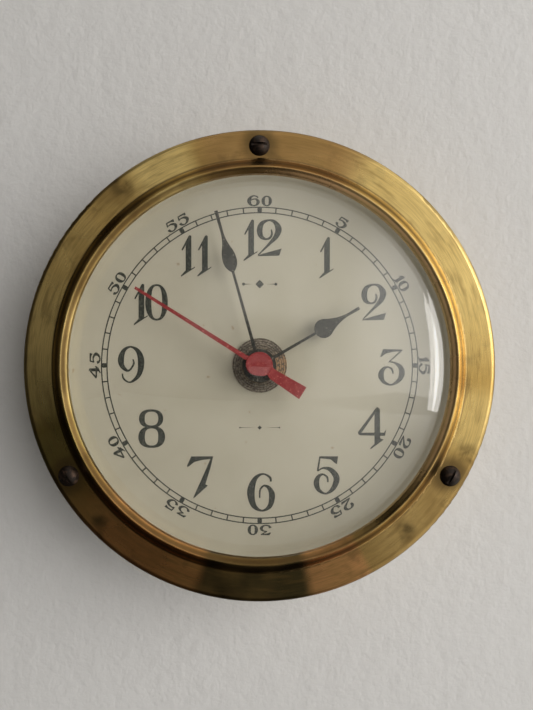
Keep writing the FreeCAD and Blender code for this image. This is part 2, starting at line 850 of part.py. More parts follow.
def make_third_wheel():
    """Driven by the seconds pinion; its own pinion drives the centre wheel."""
    body = start_piece("third_wheel")
    wheel_phase = going_phase("seconds_pinion_teeth", "wheel_teeth", "third_bearing")
    pinion_phase = going_phase("centre_teeth", "third_pinion_teeth", "third_bearing")
    add_teeth(body, "wheel", "wheel_teeth", THIRD_MODULE, "wheel_thickness", "0", wheel_phase)
    add_teeth(body, "pinion", "third_pinion_teeth", CENTRE_MODULE, "third_height", "0", pinion_phase)
    drill(body, "bore", "arbor_radius", "third_height", "third_height")
    seat(body, "third_depth", *THIRD_SPOT)
    pivoted_piece("third_arbor", "arbor_radius", THIRD_SPOT)


def make_centre_wheel():
    """The wheel that the third pinion drives, gripped on the minute pipe by its clutch spring."""
    body = start_piece("centre_wheel")
    add_teeth(body, "wheel", "centre_teeth", CENTRE_MODULE, "wheel_thickness", "0", 0)
    drill(body, "bore", "minute_pipe_radius + running_gap", "wheel_thickness", "wheel_thickness")
    seat(body, "centre_depth")


def make_minute_pipe():
    """The pipe that carries the minute hand, with a foot under the centre wheel and the minute pinion."""
    pipe = start_piece("minute_pipe")
    height = "pipe_top - pipe_depth"
    tube = sketch_on(pipe, "tube")
    circle(tube, "minute_pipe_radius")
    pad(pipe, tube, height)
    foot = sketch_on(pipe, "foot")
    circle(foot, "pipe_foot_radius")
    pad(pipe, foot, "centre_depth - pipe_depth")
    add_teeth(pipe, "pinion", "minute_pinion_teeth", MOTION_MODULE, "minute_pinion_height",
              "minute_pinion_depth - pipe_depth", 0)
    drill(pipe, "bore", "seconds_arbor_radius + running_gap", height, height)
    seat(pipe, "pipe_depth")


def make_clutch_spring():
    """The dished washer between minute pinion and centre wheel; it slips when the knob sets the hands."""
    gap = "minute_pinion_depth - centre_depth - wheel_thickness"
    turned_piece("clutch_spring", [
        ("minute_pipe_radius", f"{gap} - clutch_spring_thickness"),
        ("minute_pipe_radius + clutch_spring_thickness", f"{gap} - clutch_spring_thickness"),
        ("clutch_spring_radius", "0"),
        ("clutch_spring_radius", "clutch_spring_thickness"),
        ("minute_pipe_radius + clutch_spring_thickness", gap),
        ("minute_pipe_radius", gap),
    ], "centre_depth + wheel_thickness")


def make_motion_wheel():
    """Driven by the minute pipe's pinion; its own pinion drives the hour wheel."""
    body = start_piece("motion_wheel")
    phase = going_phase("minute_pinion_teeth", "motion_teeth", "motion_bearing")
    add_teeth(body, "wheel", "motion_teeth", MOTION_MODULE, "wheel_thickness", "0", phase)
    add_teeth(body, "pinion", "motion_pinion_teeth", HOUR_MODULE, "motion_height", "0", 0)
    drill(body, "bore", "arbor_radius", "motion_height", "motion_height")
    seat(body, "motion_depth", *MOTION_SPOT)
    pivoted_piece("motion_arbor", "arbor_radius", MOTION_SPOT)


def make_hour_wheel():
    """The wheel and pipe that carry the hour hand, running on the minute pipe."""
    body = start_piece("hour_wheel")
    height = "hour_pipe_top - hour_pipe_depth"
    tube = sketch_on(body, "tube")
    circle(tube, "hour_pipe_radius")
    pad(body, tube, height)
    phase = mesh_phase(0, "motion_pinion_teeth", "hour_teeth", value("motion_bearing") + 180)
    add_teeth(body, "wheel", "hour_teeth", HOUR_MODULE, "wheel_thickness", "hour_wheel_lift", phase)
    drill(body, "bore", "minute_pipe_radius + running_gap", height, height)
    seat(body, "hour_pipe_depth")


def make_setting_knob():
    """The knob at the back that turns the motion wheel: a ribbed button, a shaft and a pinion."""
    body = start_piece("setting_knob")
    button = sketch_on(body, "button")
    circle(button, "knob_radius")
    pad(body, button, "knob_height")
    shaft = sketch_on(body, "shaft")
    circle(shaft, "knob_shaft_radius")
    pad(body, shaft, "block_face - block_face_thickness + pivot_depth - knob_back")
    motion_phase = going_phase("minute_pinion_teeth", "motion_teeth", "motion_bearing")
    phase = mesh_phase(motion_phase, "motion_teeth", "minute_pinion_teeth", value("knob_bearing"))
    add_teeth(body, "pinion", "minute_pinion_teeth", MOTION_MODULE, "knob_pinion_height",
              "knob_pinion_depth - knob_back", phase)
    groove = drill(body, "groove", "knob_grip_radius", "knob_height", "knob_height", [("knob_radius", "0")])
    repeat_around(body, [groove], "knob_grip_number")
    seat(body, "knob_back", *KNOB_SPOT)


# ---------------------------------------------------------------- movement block


def make_threaded_bush():
    """The threaded bush that passes through the dial and guides the hour pipe."""
    bore = "hour_pipe_radius + running_gap"
    turned_piece("threaded_bush", [
        (bore, "0"),
        ("bush_flange_radius", "0"),
        ("bush_flange_radius", "bush_flange_thickness"),
        ("thread_radius", "bush_flange_thickness"),
        ("thread_radius", "bush_flange_thickness + thread_height"),
        (bore, "bush_flange_thickness + thread_height"),
    ], "block_face - block_face_thickness - bush_flange_thickness")


BOSS_SPOTS = (
    ("-cover_boss_reach", "cover_boss_reach"),
    ("cover_boss_reach", "cover_boss_reach"),
    ("-cover_boss_reach", "lower_boss_height"),
)
PEG_SPOTS = (
    ("upper_peg_x", "upper_peg_height"),
    (f"{ROTOR_SPOT[0]} - lower_peg_left", f"{ROTOR_SPOT[1]} + lower_peg_rise"),
)


def make_movement_housing():
    """The moulded front half: a face plate with walls, a bay for the train and a bay for the battery."""
    inside = "block_half_width - block_wall"
    depth = "block_face - block_back"
    bay_depth = f"{depth} - block_face_thickness"
    body = start_piece("movement_housing")
    outside = sketch_on(body, "outside")
    rectangle(outside, "-block_half_width", "-block_half_width", "block_half_width", "block_half_width")
    pad(body, outside, depth)
    round_corners(body, "block_rounding")
    train_bay = sketch_on(body, "train_bay", lift=bay_depth)
    rectangle(train_bay, f"-({inside})", "train_bay_foot", inside, inside)
    pocket(body, train_bay, bay_depth)
    battery_bay = sketch_on(body, "battery_bay", lift=bay_depth)
    rectangle(battery_bay, f"-({inside})", f"-({inside})", inside, "battery_bay_head")
    pocket(body, battery_bay, bay_depth)
    for number, spot in enumerate(BOSS_SPOTS):
        boss = sketch_on(body, f"boss_{number}")
        circle(boss, "cover_boss_radius", *spot)
        pad(body, boss, bay_depth)
    for number, spot in enumerate(PEG_SPOTS):
        peg = sketch_on(body, f"peg_{number}", lift="stator_back + stator_thickness - block_back")
        circle(peg, "peg_radius", *spot)
        pad(body, peg, "block_face - block_face_thickness - stator_back - stator_thickness")
    drill(body, "boss_holes", "cover_screw_radius", "cover_screw_length", "cover_screw_length", BOSS_SPOTS)
    drill(body, "bush_hole", "thread_radius", depth, "block_face_thickness")
    pivot_top = f"{bay_depth} + pivot_depth"
    pivot_hole = "arbor_radius + running_gap"
    pivots = [THIRD_SPOT, INTERMEDIATE_SPOT, MOTION_SPOT]
    drill(body, "pivot_holes", pivot_hole, pivot_top, "pivot_depth", pivots)
    drill(body, "rotor_pivot", "rotor_arbor_radius + running_gap", pivot_top, "pivot_depth", [ROTOR_SPOT])
    drill(body, "knob_pivot", "knob_shaft_radius + running_gap", pivot_top, "pivot_depth", [KNOB_SPOT])
    seat(body, "block_back")


def round_corners(body, rounding):
    """Round every edge that runs along the body's Z axis."""
    base = body.Tip
    names = []
    for number, edge in enumerate(base.Shape.Edges, start=1):
        start, end = (vertex.Point for vertex in edge.Vertexes)
        if math.hypot(end.x - start.x, end.y - start.y) < SAME:
            names.append(f"Edge{number}")
    feature = body.newObject("PartDesign::Fillet", f"{body.Name}_corners")
    feature.Base = (base, names)
    feature.setExpression("Radius", bound(rounding))
    doc.recompute()


def make_rear_cover():
    """The cover over the train bay, with the rear pivots and the knob's hole."""
    back = "block_back - cover_thickness"
    body = start_piece("movement_rear_cover")
    plate = sketch_on(body, "plate")
    rectangle(plate, "-block_half_width", "cover_foot", "block_half_width", "block_half_width")
    pad(body, plate, "cover_thickness")
    round_corners(body, "block_wall")
    pivots = [THIRD_SPOT, INTERMEDIATE_SPOT, MOTION_SPOT]
    drill(body, "pivot_holes", "arbor_radius + running_gap", "cover_thickness", "pivot_depth", pivots)
    drill(body, "rotor_pivot", "rotor_arbor_radius + running_gap", "cover_thickness", "pivot_depth",
          [ROTOR_SPOT])
    drill(body, "seconds_pivot", "seconds_arbor_radius + running_gap", "cover_thickness", "pivot_depth")
    drill(body, "knob_hole", "knob_shaft_radius + running_gap", "cover_thickness", "cover_thickness",
          [KNOB_SPOT])
    drill(body, "screw_holes", "cover_screw_radius", "cover_thickness", "cover_thickness", BOSS_SPOTS)
    seat(body, back)


def make_cover_screws():
    """Pan-head screws through the rear cover into the housing's bosses."""
    body = start_piece("cover_screws")
    shanks = sketch_on(body, "shanks", lift="cover_screw_head_height")
    heads = sketch_on(body, "heads")
    for spot in BOSS_SPOTS:
        circle(shanks, "cover_screw_radius", *spot)
        circle(heads, "cover_screw_head_radius", *spot)
    pad(body, heads, "cover_screw_head_height")
    pad(body, shanks, "cover_screw_length")
    seat(body, "block_back - cover_thickness - cover_screw_head_height")


def make_motor():
    """The stepping motor's stator plate, and the coil on its core beside the rotor."""
    left = f"{ROTOR_SPOT[0]} - stator_block_reach"
    block_foot = f"{ROTOR_SPOT[1]} - stator_block_half_height"
    block_head = f"{ROTOR_SPOT[1]} + stator_block_half_height"
    body = start_piece("stator")
    plate = sketch_on(body, "plate")
    outline(plate, [
        (left, block_foot),
        ("spine_left", block_foot),
        ("spine_left", "stator_foot"),
        ("stator_right", "stator_foot"),
        ("stator_right", "coil_foot"),
        ("spine_right", "coil_foot"),
        ("spine_right", "coil_head"),
        ("stator_right", "coil_head"),
        ("stator_right", "stator_head"),
        ("spine_left", "stator_head"),
        ("spine_left", block_head),
        (left, block_head),
    ])
    pad(body, plate, "stator_thickness")
    drill(body, "rotor_hole", "stator_hole_radius", "stator_thickness", "stator_thickness", [ROTOR_SPOT])
    seat(body, "stator_back")
    core = ("coil_x - core_half_width", "stator_foot", "coil_x + core_half_width", "stator_head")
    block_piece("coil_core", core, "stator_thickness", "stator_back - stator_thickness")


def make_coil():
    """The bobbin on the core, and the copper wound on it."""
    length = "coil_head - coil_foot"
    middle = "stator_back - stator_thickness / 2"
    tube_radius = "core_half_width + bobbin_tube_wall"
    half = "bobbin_half_width"
    bobbin = start_piece("coil_bobbin")
    for number, foot in enumerate(("0", f"{length} - bobbin_flange")):
        flange = sketch_on(bobbin, f"flange_{number}", lift=foot)
        rectangle(flange, f"-{half}", f"-{half}", half, half)
        pad(bobbin, flange, "bobbin_flange")
        if number == 0:
            tube = sketch_on(bobbin, "tube")
            circle(tube, tube_radius)
            pad(bobbin, tube, length)
    slot = sketch_on(bobbin, "slot", lift=length)
    rectangle(slot, "-core_half_width", "-stator_thickness / 2", "core_half_width", "stator_thickness / 2")
    pocket(bobbin, slot, length)
    winding = start_piece("coil_winding")
    section = sketch_on(winding, "section")
    circle(section, "winding_radius")
    circle(section, tube_radius)
    pad(winding, section, f"{length} - 2 * bobbin_flange")
    lay_upright(bobbin, "coil_foot", middle)
    lay_upright(winding, "coil_foot + bobbin_flange", middle)


def lay_upright(piece, foot, depth):
    """Stand a piece of the coil up towards twelve, its Z along the world's Z."""
    spot = Vector(value("coil_x"), -value(depth), value(foot))
    piece.Placement = FreeCAD.Placement(spot, FreeCAD.Rotation())
    piece.setExpression(".Placement.Base.x", bound("coil_x"))
    piece.setExpression(".Placement.Base.y", bound(f"-({depth})"))
    piece.setExpression(".Placement.Base.z", bound(foot))


def make_circuit():
    """The circuit board with its timing chip and quartz can."""
    front = "board_back + board_thickness"
    board = ("board_left", "lower_boss_height", "board_right", "coil_head")
    block_piece("circuit_board", board, "board_thickness", "board_back")
    chip = start_piece("timing_chip")
    blob = sketch_on(chip, "blob")
    circle(blob, "chip_radius", "coil_x", "coil_foot")
    pad(chip, blob, "chip_height")
    seat(chip, front)
    can = doc.addObject("Part::Cylinder", "quartz_can")
    can.Label = "quartz_can"
    can.setExpression("Radius", bound("can_radius"))
    can.setExpression("Height", bound("can_length"))
    lay_upright(can, "can_foot", f"{front} + can_radius")
    pieces.append(can)


def make_battery():
    """The round cell, lying across below the train, with its button to the right."""
    cell = doc.addObject("Part::Cylinder", "cell_body")
    cell.setExpression("Radius", bound("battery_radius"))
    cell.setExpression("Height", bound("battery_length"))
    button = doc.addObject("Part::Cylinder", "cell_button")
    button.setExpression("Radius", bound("battery_button_radius"))
    button.setExpression("Height", bound("battery_button_height"))
    button.setExpression(".Placement.Base.z", bound("battery_length"))
    battery = doc.addObject("Part::Fuse", "battery_cell")
    battery.Label = "battery_cell"
    battery.Base = cell
    battery.Tool = button
    across = FreeCAD.Rotation(Vector(0, 1, 0), 90)
    battery.Placement = FreeCAD.Placement(Vector(), across)
    battery.setExpression(".Placement.Base.x", bound("-battery_length / 2"))
    battery.setExpression(".Placement.Base.y", bound("-battery_depth"))
    battery.setExpression(".Placement.Base.z", bound("battery_height"))
    pieces.append(battery)


def make_contacts():
    """The sprung strips that the cell's ends press on."""
    half = "battery_length / 2"
    foot = "battery_height - contact_half_width"
    head = "battery_height + contact_half_width"
    height = "2 * contact_half_width"
    depth = "battery_depth - contact_half_width"
    button = f"{half} + battery_button_height"
    block_piece("positive_contact", (button, foot, f"{button} + contact_thickness", head), height, depth)
    block_piece("negative_contact", (f"-{half} - contact_thickness", foot, f"-{half}", head), height, depth)


# ---------------------------------------------------------------- build, check, write


def check_pieces():
    """Stop if any object failed to compute or any piece's shape is empty or not valid."""
    for item in doc.Objects:
        if "Invalid" in item.State or "Error" in item.State:
            raise RuntimeError(f"{item.Name} is {item.State}")
    for piece in pieces:
        if piece.Shape.isNull() or not piece.Shape.isValid():
            raise RuntimeError(f"{piece.Label} has no valid shape")


def write_pieces():
    os.makedirs("parts", exist_ok=True)
    for piece in pieces:
        piece.Shape.exportStep(f"parts/{piece.Label}.step")


fill_sheet()
make_case_drum()
make_screw_bushes()
make_bezel_ring()
make_bezel_screws()
make_crystal()
make_crystal_rings()
make_dial_support_ring()
make_dial()
make_dial_nut()
make_hour_hand()
make_minute_hand()
make_second_hand()
make_rotor()
make_intermediate_wheel()
make_seconds_wheel()
make_third_wheel()
make_centre_wheel()
make_minute_pipe()
make_clutch_spring()
make_motion_wheel()
make_hour_wheel()
make_setting_knob()
make_threaded_bush()
make_movement_housing()
make_rear_cover()
make_cover_screws()
make_motor()
make_coil()
make_circuit()
make_battery()
make_contacts()
doc.recompute()
check_pieces()
write_pieces()
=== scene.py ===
import json
import math

import bpy
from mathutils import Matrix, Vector
from mathutils.geometry import delaunay_2d_cdt


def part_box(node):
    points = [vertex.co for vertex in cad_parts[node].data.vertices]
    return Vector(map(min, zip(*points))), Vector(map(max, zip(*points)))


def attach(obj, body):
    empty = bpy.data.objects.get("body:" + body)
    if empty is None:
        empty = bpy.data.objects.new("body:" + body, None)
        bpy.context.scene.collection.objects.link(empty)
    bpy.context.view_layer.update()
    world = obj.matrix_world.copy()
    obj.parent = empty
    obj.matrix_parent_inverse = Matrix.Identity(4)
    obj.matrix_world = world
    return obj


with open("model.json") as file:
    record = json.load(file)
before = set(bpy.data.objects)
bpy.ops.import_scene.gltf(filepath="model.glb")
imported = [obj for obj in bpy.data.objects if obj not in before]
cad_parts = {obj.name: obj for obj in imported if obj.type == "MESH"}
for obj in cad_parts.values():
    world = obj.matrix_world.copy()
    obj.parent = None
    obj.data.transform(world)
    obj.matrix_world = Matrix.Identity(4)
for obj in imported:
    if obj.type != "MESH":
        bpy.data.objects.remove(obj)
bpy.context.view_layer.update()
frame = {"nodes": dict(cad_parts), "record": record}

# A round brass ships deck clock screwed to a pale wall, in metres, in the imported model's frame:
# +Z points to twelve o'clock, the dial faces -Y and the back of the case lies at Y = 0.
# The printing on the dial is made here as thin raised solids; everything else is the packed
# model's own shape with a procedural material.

MM = 0.001

# The front of the dial, read from the frame.
DIAL_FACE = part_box("dial_plate")[0][1]

# ---------------------------------------------------------------- bezel layout
SCREW_CIRCLE = 58.9 * MM
SCREW_HOURS = (12, 4, 8)
BEZEL_FACE = -30.0 * MM

# ---------------------------------------------------------------- fine turning and winding
TOOL_MARK_PITCH = 0.62 * MM
WIRE_PITCH = 0.22 * MM

# ---------------------------------------------------------------- dial layout
INK_THICKNESS = 0.05 * MM
NUMERAL_RADIUS = 35.5 * MM
NUMERAL_HEIGHT = 10.5 * MM
TRACK_OUTER = 43.9 * MM
TRACK_INNER = 42.4 * MM
TRACK_LINE = 0.30 * MM
TICK_WIDTH = 0.36 * MM
BLOB_RADIUS = 0.64 * MM
BLOB_SPREAD = 0.22 * MM
MINUTE_RADIUS = 45.7 * MM
MINUTE_HEIGHT = 2.8 * MM
MINUTE_STRETCH = 1.6
MINUTE_BOLDNESS = 0.10 * MM
MINUTE_GAP = 0.09
CIRCLE_STEPS = 240
CURVE_STEPS = 6
BOWL_STEPS = 16
DISC_SIDES = 20
OVAL_FULLNESS = 0.88

# The two ornaments: how far above the dial's centre, how wide and how high each is.
ORNAMENTS = ((22.6 * MM, 9.0 * MM, 2.4 * MM), (-17.3 * MM, 11.0 * MM, 1.2 * MM))

# Their bars and end dots, as shares of the lozenge's half height.
BAR_START = 1.6
BAR_THICKNESS = 0.12
END_DOT = 0.35


# ================================================================ node graphs
class Graph:
    """One material's node graph, built from short calls."""

    def __init__(self, name, tree=None):
        if tree is None:
            self.material = bpy.data.materials.new(name)
            self.material.use_nodes = True
            tree = self.material.node_tree
        self.nodes = tree.nodes
        self.links = tree.links
        self.nodes.clear()

    def feed(self, socket, source):
        """Links a node or socket to an input, or sets the input's own value."""
        if isinstance(source, bpy.types.Node):
            source = source.outputs[0]
        if isinstance(source, bpy.types.NodeSocket):
            self.links.new(source, socket)
        else:
            socket.default_value = source

    def add(self, kind, inputs=None, **settings):
        node = self.nodes.new("ShaderNode" + kind)
        for key, setting in settings.items():
            setattr(node, key, setting)
        for key, source in (inputs or {}).items():
            self.feed(node.inputs[key], source)
        return node

    def math(self, operation, first, second=0.0, clamp=False):
        return self.add("Math", {0: first, 1: second}, operation=operation, use_clamp=clamp)

    def vector(self, operation, first, second=(0.0, 0.0, 0.0)):
        return self.add("VectorMath", {0: first, 1: second}, operation=operation)

    def scaled(self, vector, factor):
        return self.add("VectorMath", {0: vector, "Scale": factor}, operation="SCALE")

    def place(self):
        """A point of the piece in the frame, in metres."""
        return self.add("TexCoord").outputs["Object"]

    def noise(self, scale, detail=3.0, vector=None, distortion=0.0, roughness=0.55):
        inputs = {
            "Vector": vector or self.place(),
            "Scale": scale,
            "Detail": detail,
            "Roughness": roughness,
            "Distortion": distortion,
        }
        return self.add("TexNoise", inputs).outputs[0]

    def step(self, value, low, high, to_low=0.0, to_high=1.0):
        """A smooth rise from to_low at low to to_high at high."""
        inputs = {"Value": value, "From Min": low, "From Max": high, "To Min": to_low, "To Max": to_high}
        return self.add("MapRange", inputs, interpolation_type="SMOOTHSTEP")

    def blend(self, factor, first, second):
        """The first colour where the factor is 0, the second where it is 1."""
        node = self.add("Mix", data_type="RGBA", blend_type="MIX")
        self.feed(node.inputs[0], factor)
        self.feed(node.inputs[6], colour(first))
        self.feed(node.inputs[7], colour(second))
        return node.outputs[2]

    def across(self):
        """Distance from the clock's axis, and the unit direction out from it."""
        parts = self.add("SeparateXYZ", {0: self.place()})
        flat = self.add("CombineXYZ", {0: parts.outputs[0], 2: parts.outputs[2]})
        radius = self.vector("LENGTH", flat).outputs[1]
        return radius, self.vector("NORMALIZE", flat)

    def spun(self, per_turn, per_metre, detail=3.0):
        """Noise drawn out along circles about the clock's axis, as spinning and polishing leave it."""
        radius, outward = self.across()
        depth = self.add("SeparateXYZ", {0: self.place()}).outputs[1]
        along = self.math("MULTIPLY", self.math("ADD", radius, depth), per_metre)
        turned = self.vector("ADD", self.scaled(outward, per_turn), self.add("CombineXYZ", {1: along}))
        return self.noise(1.0, detail, turned)

    def toward(self, hour, edge, core):
        """1 in the sector about an hour of the dial, falling to 0; edge and core are degrees from it."""
        angle = math.radians(30.0 * hour)
        outward = self.across()[1]
        facing = self.vector("DOT_PRODUCT", outward, (math.sin(angle), 0.0, math.cos(angle))).outputs[1]
        return self.step(facing, math.cos(math.radians(edge)), math.cos(math.radians(core)))

    def ring(self, radius, width):
        """1 on a circle about the clock's axis, falling to 0 at width from it."""
        off = self.math("ABSOLUTE", self.math("SUBTRACT", self.across()[0], radius))
        return self.step(off, 0.0, width, 1.0, 0.0)

    def bump(self, height, distance, strength=1.0, normal=None):
        inputs = {"Height": height, "Distance": distance, "Strength": strength}
        if normal is not None:
            inputs["Normal"] = normal
        return self.add("Bump", inputs)

    def finish(self, base, roughness, normal=None, **more):
        """The Principled surface that ends the graph."""
        shader = self.add("BsdfPrincipled", {"Base Color": colour(base), "Roughness": roughness})
        if normal is not None:
            self.feed(shader.inputs["Normal"], normal)
        for key, source in more.items():
            self.feed(shader.inputs[key.replace("_", " ").title().replace("Ior", "IOR")], source)
        self.add("OutputMaterial", {"Surface": shader})


def colour(source):
    """Three numbers become an opaque colour; anything else is passed on."""
    return (*source, 1.0) if isinstance(source, tuple) and len(source) == 3 else source


def worn_metal(name, clean, dark, roughness, grain, wear=0.45, relief=0.01 * MM):
    """Metal with darker staining, uneven polish and a fine grained surface."""
    g = Graph(name)
    stain = g.step(g.noise(grain * 0.12, 5.0, distortion=0.6), 0.42, 0.72)
    base = g.blend(g.math("MULTIPLY", stain, wear), clean, dark)
    polish = g.step(g.noise(grain, 4.0), 0.3, 0.7, roughness * 0.75, roughness * 1.35)
    relief_map = g.bump(g.noise(grain * 2.5, 3.0), relief, 0.6)
    g.finish(base, polish, relief_map, metallic=1.0)
    return g.material


def moulded(name, light, shade, roughness, grain, relief=0.02 * MM, **more):
    """Moulded or painted stuff with a slight mottle, a fine skin texture and handled patches."""
    g = Graph(name)
    mottle = g.noise(grain * 0.1, 4.0, distortion=0.4)
    base = g.blend(g.step(mottle, 0.35, 0.7), light, shade)
    polish = g.step(g.noise(grain * 0.3, 4.0), 0.3, 0.7, roughness * 0.8, min(1.0, roughness * 1.25))
    skin = g.bump(g.noise(grain, 2.0), relief, 0.5)
    g.finish(base, polish, skin, **more)
    return g.material


# ================================================================ materials, one per slot
# Sectors of the bezel, partly real tarnish and partly painted reflection of the room in the brass, dark at
# the top and left, red-brown and coppery below: the hour, the degrees to the edge and the core, how strongly,
# and the colour.
TARNISH_AND_PAINTED_REFLECTION = (
    (12.2, 26.0, 17.0, 0.85, (0.36, 0.205, 0.080)),
    (10.5, 12.0, 6.0, 0.60, (0.46, 0.31, 0.11)),
    (7.1, 34.0, 20.0, 0.95, (0.66, 0.31, 0.105)),
    (4.9, 40.0, 22.0, 0.60, (0.42, 0.27, 0.105)),
    (5.33, 9.5, 7.0, 0.90, (0.74, 0.37, 0.145)),
    (6.05, 16.0, 12.5, 0.95, (0.080, 0.066, 0.028)),
    (8.4, 30.0, 8.0, 0.75, (0.16, 0.14, 0.03)),
)

# The slope from the bezel's lip down to the crystal: its middle and how far its painted shade and painted
# highlight reach from it.
LIP_SLOPE = 51.35 * MM
LIP_SLOPE_REACH = 1.1 * MM

# Sectors of the bezel brightened, partly rubbed polish and partly painted reflection of the bright side of
# the room: the hour, the degrees to the edge and the core, and how strongly.
POLISH_AND_PAINTED_HIGHLIGHT = ((1.9, 38.0, 14.0, 0.60), (11.12, 11.0, 3.0, 0.70), (9.15, 22.0, 8.0, 0.55), (3.5, 10.0, 4.0, 0.4))

# Dark smudges on the bezel: the hour they lie at, their distance from the axis and their size, in mm.
SMUDGES = ((5.25, 59.6, 2.4), (4.62, 59.0, 3.8), (3.78, 60.6, 4.2), (10.75, 60.5, 4.5), (7.55, 58.5, 4.0))

# Dark rings in the turned lines of the bezel, partly grime and partly painted shade in the step between
# flange and lip: radius and reach in mm, and how strongly.
GRIME_AND_PAINTED_SHADE = ((55.4, 0.45, 0.75), (53.7, 1.3, 0.93), (62.5, 0.14, 0.45), (51.7, 0.35, 0.6))


def bezel_brass():
    """Spun brass, polished long ago, with tarnish, smudges and staining round the screws; sectors are partly
    tarnish and polish and partly painted reflection of the room, with painted shade in the step between
    flange and lip and painted shade and a painted highlight on the slope inside the lip.
    """
    g = Graph("bezel_brass")
    radius, outward = g.across()
    patches = g.noise(1.0, 3.0, g.scaled(outward, 3.4), distortion=0.3)
    cloud = g.noise(70.0, 4.0, distortion=0.15, roughness=0.45)
    smudge = g.noise(170.0, 5.0, distortion=0.25, roughness=0.5)
    fine = g.spun(9.0, 5200.0)
    base = g.blend(g.step(patches, 0.35, 0.65), (0.78, 0.55, 0.20), (0.60, 0.39, 0.12))
    # Sector colours: partly real tarnish, partly painted reflection of the room mirrored in the brass.
    for hour, edge, core, depth, tone in TARNISH_AND_PAINTED_REFLECTION:
        base = g.blend(g.math("MULTIPLY", g.toward(hour, edge, core), depth), base, tone)
    base = g.blend(g.step(cloud, 0.46, 0.70, 0.0, 0.55), base, (0.30, 0.185, 0.06))
    base = g.blend(g.step(smudge, 0.54, 0.70, 0.0, 0.45), base, (0.15, 0.095, 0.04))
    # Brightened sectors: partly rubbed polish, partly painted reflection of the bright side of the room.
    for hour, edge, core, depth in POLISH_AND_PAINTED_HIGHLIGHT:
        base = g.blend(g.math("MULTIPLY", g.toward(hour, edge, core), depth), base, (0.97, 0.74, 0.30))
    base = g.blend(g.step(g.spun(6.0, 650.0, 5.0), 0.48, 0.68, 0.0, 0.45), base, (0.28, 0.175, 0.06))
    base = g.blend(g.step(fine, 0.42, 0.62, 0.0, 0.25), base, (0.20, 0.13, 0.05))
    slope = g.ring(LIP_SLOPE, LIP_SLOPE_REACH)
    # Painted shade on the slope inside the lip towards eight o'clock, and a painted highlight in bright
    # copper towards two o'clock.
    slope_painted_shade = g.math("MULTIPLY", slope, g.toward(8.3, 112.0, 70.0))
    coppery = g.math("MULTIPLY", slope, g.toward(2.2, 72.0, 40.0))
    base = g.blend(g.math("MULTIPLY", slope_painted_shade, 0.88), base, (0.14, 0.082, 0.030))
    base = g.blend(g.math("MULTIPLY", coppery, 0.65), base, (0.97, 0.60, 0.31))
    for hour, spot_radius, size in SMUDGES:
        off = g.vector("DISTANCE", g.place(), on_dial(hour, spot_radius * MM, BEZEL_FACE)).outputs[1]
        soft = g.step(off, 0.3 * size * MM, size * MM, 0.8, 0.0)
        ragged = g.math("MULTIPLY", g.step(smudge, 0.35, 0.60), soft)
        base = g.blend(ragged, base, (0.11, 0.075, 0.03))
    for hour in SCREW_HOURS:
        near = g.vector("DISTANCE", g.place(), on_dial(hour, SCREW_CIRCLE, BEZEL_FACE)).outputs[1]
        halo = g.step(near, 3.0 * MM, 6.5 * MM, 0.75, 0.0)
        base = g.blend(g.math("MULTIPLY", halo, g.step(cloud, 0.3, 0.6)), base, (0.13, 0.085, 0.035))
    # Dark rings: partly grime in the turned lines, partly painted shade in the step from flange to lip.
    for line, width, depth in GRIME_AND_PAINTED_SHADE:
        grime_and_painted_shade = g.math("MULTIPLY", g.ring(line * MM, width * MM), depth)
        base = g.blend(grime_and_painted_shade, base, (0.12, 0.075, 0.03))
    pits = g.step(g.noise(900.0, 2.0), 0.70, 0.76)
    worn_rim = g.math("MULTIPLY", g.ring(62.2 * MM, 2.0 * MM), g.toward(1.6, 50.0, 25.0))
    base = g.blend(g.math("MULTIPLY", pits, worn_rim), base, (0.06, 0.04, 0.02))
    gloss = g.step(cloud, 0.3, 0.7, 0.16, 0.36)
    gloss = g.math("ADD", gloss, g.math("MULTIPLY", fine, 0.10))
    gloss = g.math("ADD", gloss, g.math("MULTIPLY", slope_painted_shade, 0.30))
    # Less metallic under the painted highlight on the lip slope, so its bright colour shows as if lit.
    bare = g.math("SUBTRACT", 1.0, g.math("MULTIPLY", coppery, 0.55))
    dents = g.bump(g.noise(30.0, 1.0), 0.25 * MM, 0.2)
    grain = g.bump(fine, 0.006 * MM, 0.5, dents)
    g.finish(base, gloss, grain, metallic=bare)
    return g.material


def case_brass():
    """The drum: spun brass left duller than the bezel, with turning marks and brown staining."""
    g = Graph("case_brass")
    cloud = g.noise(48.0, 5.0, distortion=0.2, roughness=0.5)
    fine = g.spun(6.0, 3800.0)
    base = g.blend(g.step(cloud, 0.44, 0.72), (0.66, 0.46, 0.17), (0.36, 0.23, 0.085))
    base = g.blend(g.step(g.spun(5.0, 420.0, 5.0), 0.46, 0.68, 0.0, 0.5), base, (0.28, 0.18, 0.065))
    base = g.blend(g.step(fine, 0.42, 0.62, 0.0, 0.25), base, (0.22, 0.14, 0.055))
    gloss = g.math("ADD", g.step(cloud, 0.3, 0.75, 0.24, 0.42), g.math("MULTIPLY", fine, 0.12))
    g.finish(base, gloss, g.bump(fine, 0.010 * MM, 0.6), metallic=1.0)
    return g.material


def plain_brass():
    return worn_metal("plain_brass", (0.70, 0.50, 0.20), (0.36, 0.23, 0.09), 0.28, 900.0)


def screw_bronze():
    """Screw heads tarnished brown to almost black, still glossy, with a trace of metal on their crowns."""
    g = Graph("screw_bronze")
    cloud = g.noise(700.0, 4.0, distortion=0.5)
    base = g.blend(g.step(cloud, 0.45, 0.75), (0.020, 0.014, 0.011), (0.075, 0.045, 0.03))
    gloss = g.step(cloud, 0.3, 0.7, 0.30, 0.48)
    g.finish(base, gloss, g.bump(g.noise(1600.0, 3.0), 0.05 * MM, 0.6), metallic=0.75)
    return g.material


